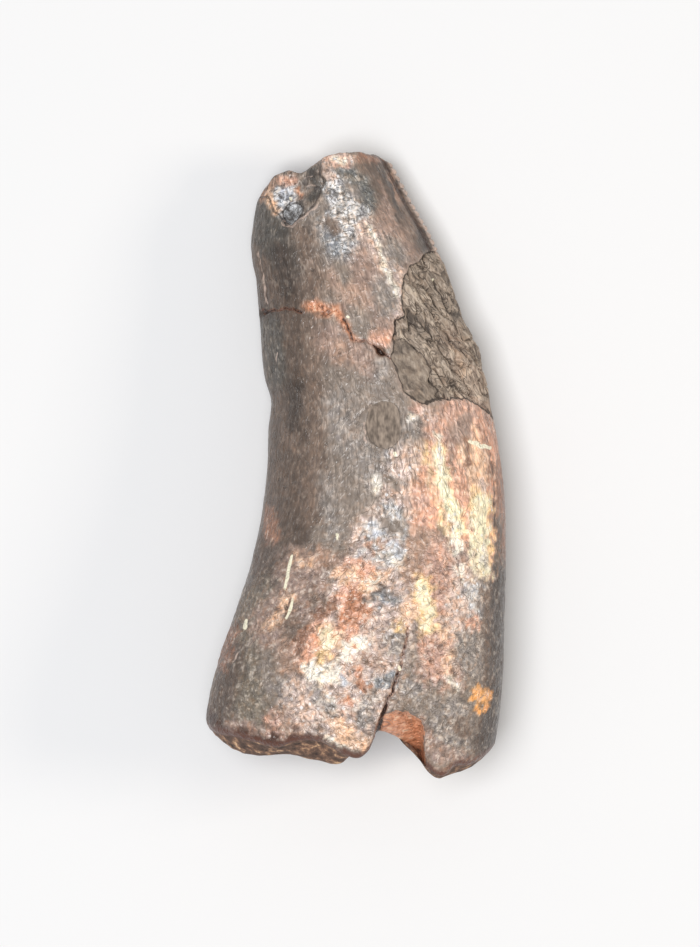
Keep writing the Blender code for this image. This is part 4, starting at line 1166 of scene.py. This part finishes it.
# Casts that vary the enamel's tint from cool to warm, the painted shade that darkens its steep flanks, and the
# colours of its other materials.
CASTS = ((0.15, (0.87, 0.865, 0.91, 1.0)), (0.5, (0.9, 0.88, 0.86, 1.0)), (0.85, (1.02, 0.86, 0.74, 1.0)))
FLANK_SHADE_TINTS = ((0.0, (1.0, 1.0, 1.0, 1.0)), (1.0, (0.76, 0.63, 0.51, 1.0)))
SLATE = ((0.25, (0.085, 0.082, 0.08, 1.0)), (0.5, (0.25, 0.245, 0.24, 1.0)),
         (0.75, (0.58, 0.585, 0.595, 1.0)), (0.95, (0.92, 0.93, 0.95, 1.0)))
CRUST = ((0.12, (0.035, 0.026, 0.019, 1.0)), (0.35, (0.175, 0.135, 0.102, 1.0)),
         (0.55, (0.36, 0.285, 0.22, 1.0)), (0.72, (0.52, 0.42, 0.33, 1.0)), (0.95, (0.8, 0.68, 0.54, 1.0)))
OLIVE = ((0.25, (0.11, 0.085, 0.065, 1.0)), (0.5, (0.24, 0.187, 0.147, 1.0)),
         (0.75, (0.38, 0.3, 0.235, 1.0)))
RAW = ((0.2, (0.18, 0.07, 0.035, 1.0)), (0.42, (0.55, 0.225, 0.115, 1.0)), (0.6, (0.8, 0.36, 0.2, 1.0)),
       (0.85, (0.98, 0.66, 0.44, 1.0)))
# Dark browns of the broken ends, partly their own colour and partly painted shade where the base break lies
# recessed.
BREAK_COLOURS_AND_SHADE = ((0.3, (0.04, 0.022, 0.016, 1.0)), (0.5, (0.16, 0.09, 0.06, 1.0)), (0.58, (0.38, 0.21, 0.125, 1.0)),
          (0.68, (0.9, 0.6, 0.34, 1.0)))
# The two darkest browns paint cracks and specks, and are also painted shade in crevices, deep hollows, the
# keel's gaps and groove and along raised edges. The white is painted highlights and glints; the cream flecks
# are also painted highlights beside creases.
CRACK_AND_SHADE_BROWN = (0.045, 0.02, 0.012, 1.0)
RUST = (0.34, 0.13, 0.075, 1.0)
SPECK_AND_SHADE_BROWN = (0.05, 0.037, 0.03, 1.0)
RIM_BROWN = (0.13, 0.052, 0.034, 1.0)
CREAM = (1.0, 0.93, 0.7, 1.0)
PALE_PINK = (0.68, 0.51, 0.42, 1.0)
CREAM_FLECK_AND_HIGHLIGHT = (0.86, 0.74, 0.62, 1.0)
WHITE_HIGHLIGHT = (0.95, 0.94, 0.94, 1.0)


def fossil_finish():
    """Crinkled brown enamel with warm and slaty zones, a rough patch, an oval stain and dark breaks.

    Bare numbers below are weights and soft steps: how strongly, and from where to where, each thing shows.
    """
    # Besides colour, this finish paints light and shade: lit and shaded sides of lumps, crinkles and creases,
    # glints, and shade on the flanks, in gaps and along raised edges.
    material = bpy.data.materials.new("fossil_enamel")
    material.use_nodes = True
    tree = material.node_tree
    start = Finish(tree)

    def field(name, output="Fac"):
        """What the mesh keeps under that name: a number, or as a vector three of them."""
        return start.node("ShaderNodeAttribute", {"attribute_name": name}, output=output)

    # Places in millimetres, places on the straightened tooth, the parts of the tooth, and its steep flanks,
    # which get painted shade.
    place = start.node("ShaderNodeTexCoord", output="Object").stretched((1.0 / MM, 1.0 / MM, 1.0 / MM))
    straight = field("straightened", output="Vector")
    height_along = straight.node("ShaderNodeSeparateXYZ", {}, {"Vector": straight}, output="Y")
    outward = start.node("ShaderNodeTexCoord", output="Normal")
    upright = start.node("ShaderNodeSeparateXYZ", {}, {"Vector": outward}, output="Z")
    shaded_flank = abs(upright).step(0.85, 0.15)
    toward_tip = height_along.step(5.0, 11.0)
    toward_base = height_along.step(-2.0, -8.0)

    # Noises that the materials share, coarse to fine. Flecks are drawn out along the middle of the tooth.
    cloud = place.grain(2.4, detail=4.0, roughness=0.6)
    blotch = place.grain(0.85, detail=2.5, roughness=0.55)
    speckle = place.grain(0.56, roughness=0.6, distortion=0.6)
    round_fleck = place.grain(0.33, detail=1.5)
    long_fleck = straight.stretched((1.0, 0.4, 1.0)).grain(0.22, detail=1.0)
    shine = field("shine")
    rounded = (toward_base + toward_tip * shine).step(0.0, 1.0)
    fleck = long_fleck + rounded * (round_fleck - long_fleck)
    streak = straight.stretched((1.0, 0.07, 1.0)).grain(0.8, roughness=0.6)
    stria = straight.stretched((1.0, 0.12, 1.0)).grain(0.3, detail=1.5, roughness=0.6)

    def crinkles(shift):
        """Thin crinkled lines in the enamel, moved a little to one side."""
        drawn_out = straight.moved(shift).stretched((1.0, 0.45, 1.0)).grain(0.4, detail=1.0, distortion=0.6)
        curled = place.moved(shift).grain(0.44, detail=1.0, distortion=0.7)
        from_long_line = abs(drawn_out - NOISE_MIDDLE)
        from_line = from_long_line + rounded * (abs(curled - NOISE_MIDDLE) - from_long_line)
        return (from_line * (1.0 - 0.35 * toward_base)).step(0.09, 0.01)

    # Crinkles drawn twice, a little apart, as the lit and the shaded side of each line; pimples, beads,
    # sparkles that are painted glints, pits, and how lively each place is.
    lit_edge = crinkles((0.06, 0.05, 0.0))
    shaded_edge = crinkles((-0.06, -0.05, 0.0))
    tint = field("tint", output="Vector")
    # Pale tints, many of them painted highlights, carry less fine texture.
    pale = field("tint").step(0.4, 0.9)
    calm = (1.0 - 0.6 * toward_base) * (1.0 - 0.7 * pale)
    pimple = place.cells(0.5).step(0.5, 0.1) * (blotch + speckle.swing(0.5)).step(0.4, 0.6)
    bead = place.cells(0.44).step(0.34, 0.16)
    sparkle = place.cells(0.62).step(0.24, 0.1)
    cell_pit = place.cells(0.9).step(0.2, 0.08)
    striped = 1.0 - 0.8 * toward_base
    lively = (shine + 0.3 * toward_base).step(0.1, 0.95)
    keen = shine.step(0.6, 1.0)
    glinting = keen * toward_tip
    wavy = place.bent(0.7, 0.4)
    pebble = 0.38 - wavy.cells(0.46)
    patchy = wavy.grain(0.4, detail=1.0)
    chance = fleck + speckle.swing(0.5) + cloud.swing(0.25)

    # Enamel: its painted tint, made lighter and darker, cooler and warmer, with flecks over it, with painted
    # light and shade on its round lumps and crinkles, painted shade on its flanks and painted glints on its
    # shiny places.
    light = cloud.swing(0.35) + blotch.swing(0.3)
    light = light + striped * (streak.swing(0.6) + stria.swing(0.7 + 0.9 * lively + 0.4 * toward_tip))
    light = light + speckle.step(0.36, 0.62).swing(0.18 + 0.22 * lively)
    light = light + fleck.step(0.38, 0.62).swing(0.2 + 0.06 * lively)
    # Painted highlights in the middles of round lumps, darker between them.
    light = light + (0.1 + 0.3 * lively) * pebble
    # Painted light and shade on the two sides of each crinkle.
    light = light + (0.26 + 0.12 * glinting) * calm * speckle.step(0.35, 0.6) * (lit_edge - shaded_edge)
    light = light * (1.0 - 0.3 * pale)
    hue = 0.5 + patchy.swing((0.4 + 1.5 * lively) * (1.0 - 0.4 * pale)) + blotch.swing(0.5)
    hue = hue + stria.swing(striped * 0.9 * lively)
    enamel = tint.tinted(hue.shades(*CASTS)).lit((light + 0.16).power_of_e())
    # Painted shade on the steep flanks, which turn away from the light above.
    enamel = enamel.tinted(shaded_flank.shades(*FLANK_SHADE_TINTS))
    enamel = enamel.under(CREAM_FLECK_AND_HIGHLIGHT, chance.step(0.6, 0.7) * (0.04 + 0.5 * lively + 0.05 * toward_tip))
    enamel = enamel.under(SPECK_AND_SHADE_BROWN, chance.step(0.4, 0.3) * (0.04 + 0.35 * lively + 0.05 * toward_tip))
    raw_chance = field("raw") + blotch.swing(0.4) + speckle.swing(0.5) + fleck.swing(0.3)
    salmon = (0.52 + speckle.swing(1.1) + round_fleck.swing(1.5)).shades(*RAW)
    enamel = enamel.under(salmon, raw_chance.step(0.3, 0.7) * 0.9)
    scar_edge = field("scar")
    lively = lively + 0.3 * scar_edge.step(0.0, 0.15)
    raised = (speckle + fleck.swing(0.6)).step(0.42, 0.58)
    # Painted shade on the shaded side of the crinkles.
    enamel = enamel.under(SPECK_AND_SHADE_BROWN, shaded_edge * (1.0 - lit_edge) * calm * (0.15 * lively + 0.3 * glinting))
    # Painted highlights on the lit side of the crinkles.
    lit_share = 0.15 * lively + 0.3 * keen + 0.5 * glinting
    enamel = enamel.under(WHITE_HIGHLIGHT, lit_edge * raised * calm * lit_share)
    enamel = enamel.under(CREAM_FLECK_AND_HIGHLIGHT, bead * fleck.step(0.45, 0.7) * (0.1 + 0.3 * lively))
    # Painted white glints scattered over the shiny places.
    enamel = enamel.under(WHITE_HIGHLIGHT, sparkle * (shine + blotch.swing(0.8)).step(0.5, 0.8) * 0.85)
    enamel = enamel.under(SPECK_AND_SHADE_BROWN, cell_pit * 0.3)

    # Spalled patch: diagonal fibres and creases, calmer on its flap, darker in its deep places and creases as
    # painted shade, with painted highlights beside the creases and on the enamel lip around it, and a painted
    # shadow line along both edges.
    along_patch = place.turned(-STREAK_TURN)
    fibre = along_patch.stretched((0.4, 1.0, 0.7)).grain(0.4, roughness=0.6, distortion=0.5)
    folds = along_patch.stretched((0.5, 1.0, 0.7)).grain(0.55, detail=1.5, distortion=1.2)
    crease = abs(folds - NOISE_MIDDLE)
    hollow = field("hollow")
    # The crust is darker where its floor lies deeper, as painted shade.
    crust_shade = 0.57 - 0.12 * hollow + fibre.swing(1.2) + cloud.swing(0.6) + fleck.swing(0.7)
    crust = crust_shade.shades(*CRUST).tinted(hue.shades(*CASTS)).under(tint, 0.3)
    rugged = 1.0 - 0.7 * field("flap").step(-0.1, 0.1)
    crust = crust.lit(0.72 + 0.28 * rugged)
    # Painted highlights beside the creases, painted shade in them and in the deepest hollows.
    crust = crust.under(CREAM_FLECK_AND_HIGHLIGHT, abs(crease - 0.07).step(0.03, 0.0) * 0.28 * rugged)
    crust = crust.under(SPECK_AND_SHADE_BROWN, crease.step(0.045, 0.01) * blotch.step(0.35, 0.6) * 0.7 * rugged)
    crust = crust.under(SPECK_AND_SHADE_BROWN, hollow.step(1.0, 2.0) * 0.5)
    edge_noise = fleck.swing(0.35) + blotch.swing(0.15)
    spall_edge = field("spall") + edge_noise
    flap_edge = field("flap") + edge_noise
    # A painted highlight on the enamel lip just outside the patch.
    ground = enamel.under(PALE_PINK, spall_edge.step(-0.28, -0.08) * (0.5 * speckle))
    ground = ground.under(crust, spall_edge.step(-0.05, 0.02))
    # Painted shadow lines along the patch's edge and the flap's edge.
    ground = ground.under(SPECK_AND_SHADE_BROWN, abs(spall_edge - 0.06).step(0.1, 0.03) * 0.85)
    ground = ground.under(SPECK_AND_SHADE_BROWN, abs(flap_edge).step(0.09, 0.02) * spall_edge.step(0.2, 0.5) * 0.8)

    # Chip with its faceted grey pit and a painted shadow line just inside its edge, and the oval stain.
    scar_edge = scar_edge + edge_noise
    pit_edge = field("pit") + 0.5 * edge_noise
    facet = abs(place.grain(0.5, detail=0.0) - NOISE_MIDDLE)
    grey_facet = (0.5 + 1.8 * facet + fleck.swing(0.4)).shades(*SLATE)
    ground = ground.under(grey_facet, pit_edge.step(-0.03, 0.06) * 0.9)
    ground = ground.under(SPECK_AND_SHADE_BROWN, abs(pit_edge).step(0.11, 0.02) * 0.85)
    ground = ground.under(SPECK_AND_SHADE_BROWN, pit_edge.step(0.0, 0.1) * facet.step(0.025, 0.005) * 0.7)
    scar_dark = scar_edge.step(0.0, 0.1) * (blotch + fleck.swing(0.4)).step(0.48, 0.4)
    ground = ground.under(SPECK_AND_SHADE_BROWN, scar_dark * 0.6)
    # A painted shadow line just inside the chip's edge.
    ground = ground.under(SPECK_AND_SHADE_BROWN, abs(scar_edge - 0.1).step(0.12, 0.03) * 0.7)
    stain_edge = field("stain") + 0.5 * edge_noise
    olive = (0.46 + fleck.swing(1.1) + blotch.swing(0.5)).shades(*OLIVE)
    ground = ground.under(olive, (stain_edge + blotch.swing(0.2)).step(-0.14, 0.14) * 0.9)
    stain_rim = abs(stain_edge).step(0.09, 0.02) * (cloud - blotch).step(0.0, 0.12)
    ground = ground.under(SPECK_AND_SHADE_BROWN, stain_rim * 0.4)

    # Broken ends, dark partly as painted shade of the recessed base break, the facet at the notch, and the
    # keel with its gaps and the groove inside it darkened as painted shade.
    marrow_grain = place.grain(0.6, detail=4.0, roughness=0.68)
    ground = ground.under(RIM_BROWN, (field("base_rim") + edge_noise).step(0.6, 0.15) * 0.88)
    ground = ground.under(marrow_grain.shades(*BREAK_COLOURS_AND_SHADE), field("broken").step(0.4, 0.7))
    raw = (0.56 + blotch.swing(0.7) + stria.swing(0.9)).shades(*RAW)
    ground = ground.under(raw, (field("notch") + edge_noise).step(-0.04, 0.04))
    ground = ground.under(PALE_PINK, field("keel").step(0.3, 0.65) * (0.3 + 0.8 * fleck))
    # Painted shade in the gaps between serrations and in the groove inside the keel.
    ground = ground.under(CRACK_AND_SHADE_BROWN, (field("gap") + speckle.swing(0.9)).step(0.25, 0.75) * 0.75)

    # Cracks, then worn and scratched marks.
    ground = ground.under(CRACK_AND_SHADE_BROWN, (field("hair") + 0.25 * edge_noise).step(0.03, -0.03) * 0.7)
    crack = field("crack") + 0.3 * edge_noise
    ground = ground.under(RUST, (crack + blotch.swing(0.1)).step(0.1, 0.02) * 0.4)
    ground = ground.under(CRACK_AND_SHADE_BROWN, crack.step(0.05, -0.03))
    dim = (field("dim") + 0.15 * edge_noise).step(0.03, -0.03)
    ground = ground.under(PALE_PINK, dim * (0.35 + 0.7 * speckle))
    ground = ground.under(CREAM, (field("mark") + 0.12 * edge_noise).step(0.03, -0.01))

    # Gloss: enamel shines a little, and the patch, the stain and the broken ends are matt.
    matt = (spall_edge.step(-0.05, 0.05) + stain_edge.step(-0.05, 0.05) + field("broken")).step(0.0, 1.0)
    sheen = 0.36 - 0.1 * shine + blotch.swing(0.35) + cloud.swing(0.3)
    rough = sheen + matt * (0.85 - sheen)

    # Fine relief, in millimetres.
    height = (0.02 + 0.05 * lively) * shaded_edge + 0.05 * pimple * toward_base
    height = height + 0.05 * stria * striped + (0.03 + 0.05 * lively) * speckle + 0.02 * lively * fleck
    height = height + 0.1 * lively * pebble - 0.05 * cell_pit
    height = height * (1.0 - 0.7 * matt)
    height = height + spall_edge.step(-0.05, 0.05) * (0.08 * fibre + 0.07 * crease.step(0.0, 0.09) * rugged)
    height = height + field("broken") * 0.2 * marrow_grain
    relief = start.node("ShaderNodeBump", {}, {"Strength": 1.0, "Distance": MM, "Height": height})

    shader = tree.nodes["Principled BSDF"]
    for socket, value in (("Base Color", ground), ("Roughness", rough), ("Normal", relief)):
        tree.links.new(value.socket, shader.inputs[socket])
    shader.inputs["Specular IOR Level"].default_value = ENAMEL_SPECULAR
    return material


def plain_finish(name, colour, roughness):
    """An even matt finish for the floor."""
    material = bpy.data.materials.new(name)
    material.use_nodes = True
    shader = material.node_tree.nodes["Principled BSDF"]
    shader.inputs["Base Color"].default_value = colour
    shader.inputs["Roughness"].default_value = roughness
    return material


def make_tooth():
    """The one visible piece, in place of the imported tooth."""
    tooth = bpy.data.objects.new("fossil_tooth", fine_tooth_mesh())
    bpy.context.scene.collection.objects.link(tooth)
    tooth.data.materials.append(fossil_finish())
    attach(tooth, "root")
    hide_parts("tooth")


def make_floor():
    """A wide pale floor under the tooth, for the view only."""
    bpy.ops.mesh.primitive_plane_add(size=FLOOR_WIDTH)
    floor = bpy.context.object
    floor.name = "floor"
    floor.data.materials.append(plain_finish("pale_floor", FLOOR_GREY, FLOOR_ROUGHNESS))


def add_light(name, direction, distance, size, power, colour):
    """A square soft light that looks at the tooth from a direction."""
    data = bpy.data.lights.new(name, "AREA")
    data.size = size
    data.energy = power
    data.color = colour
    light = bpy.data.objects.new(name, data)
    bpy.context.scene.collection.objects.link(light)
    length = math.sqrt(sum(part * part for part in direction))
    light.location = [part / length * distance for part in direction]
    light.rotation_euler = light.location.to_track_quat("Z", "Y").to_euler()


def light_scene():
    """Soft light from above, a warm key from the convex side, and a pale surrounding."""
    scene = bpy.context.scene
    scene.view_settings.view_transform = "Standard"
    world = bpy.data.worlds.new("studio")
    scene.world = world
    world.use_nodes = True
    background = world.node_tree.nodes["Background"]
    background.inputs["Color"].default_value = SURROUNDING
    background.inputs["Strength"].default_value = SURROUNDING_STRENGTH
    for light in LIGHTS:
        add_light(*light)


def add_camera():
    """A long lens looking straight down, framed a little off the tooth's middle."""
    data = bpy.data.cameras.new("camera")
    data.sensor_width = SENSOR_MM
    data.lens = SENSOR_MM * CAMERA_HEIGHT / FRAME_TALL
    data.clip_start = NEAREST_SEEN
    camera = bpy.data.objects.new("camera", data)
    bpy.context.scene.collection.objects.link(camera)
    camera.location = (*FRAME_MIDDLE, FRAME_LEVEL + CAMERA_HEIGHT)
    bpy.context.scene.camera = camera


make_tooth()
make_floor()
light_scene()
add_camera()
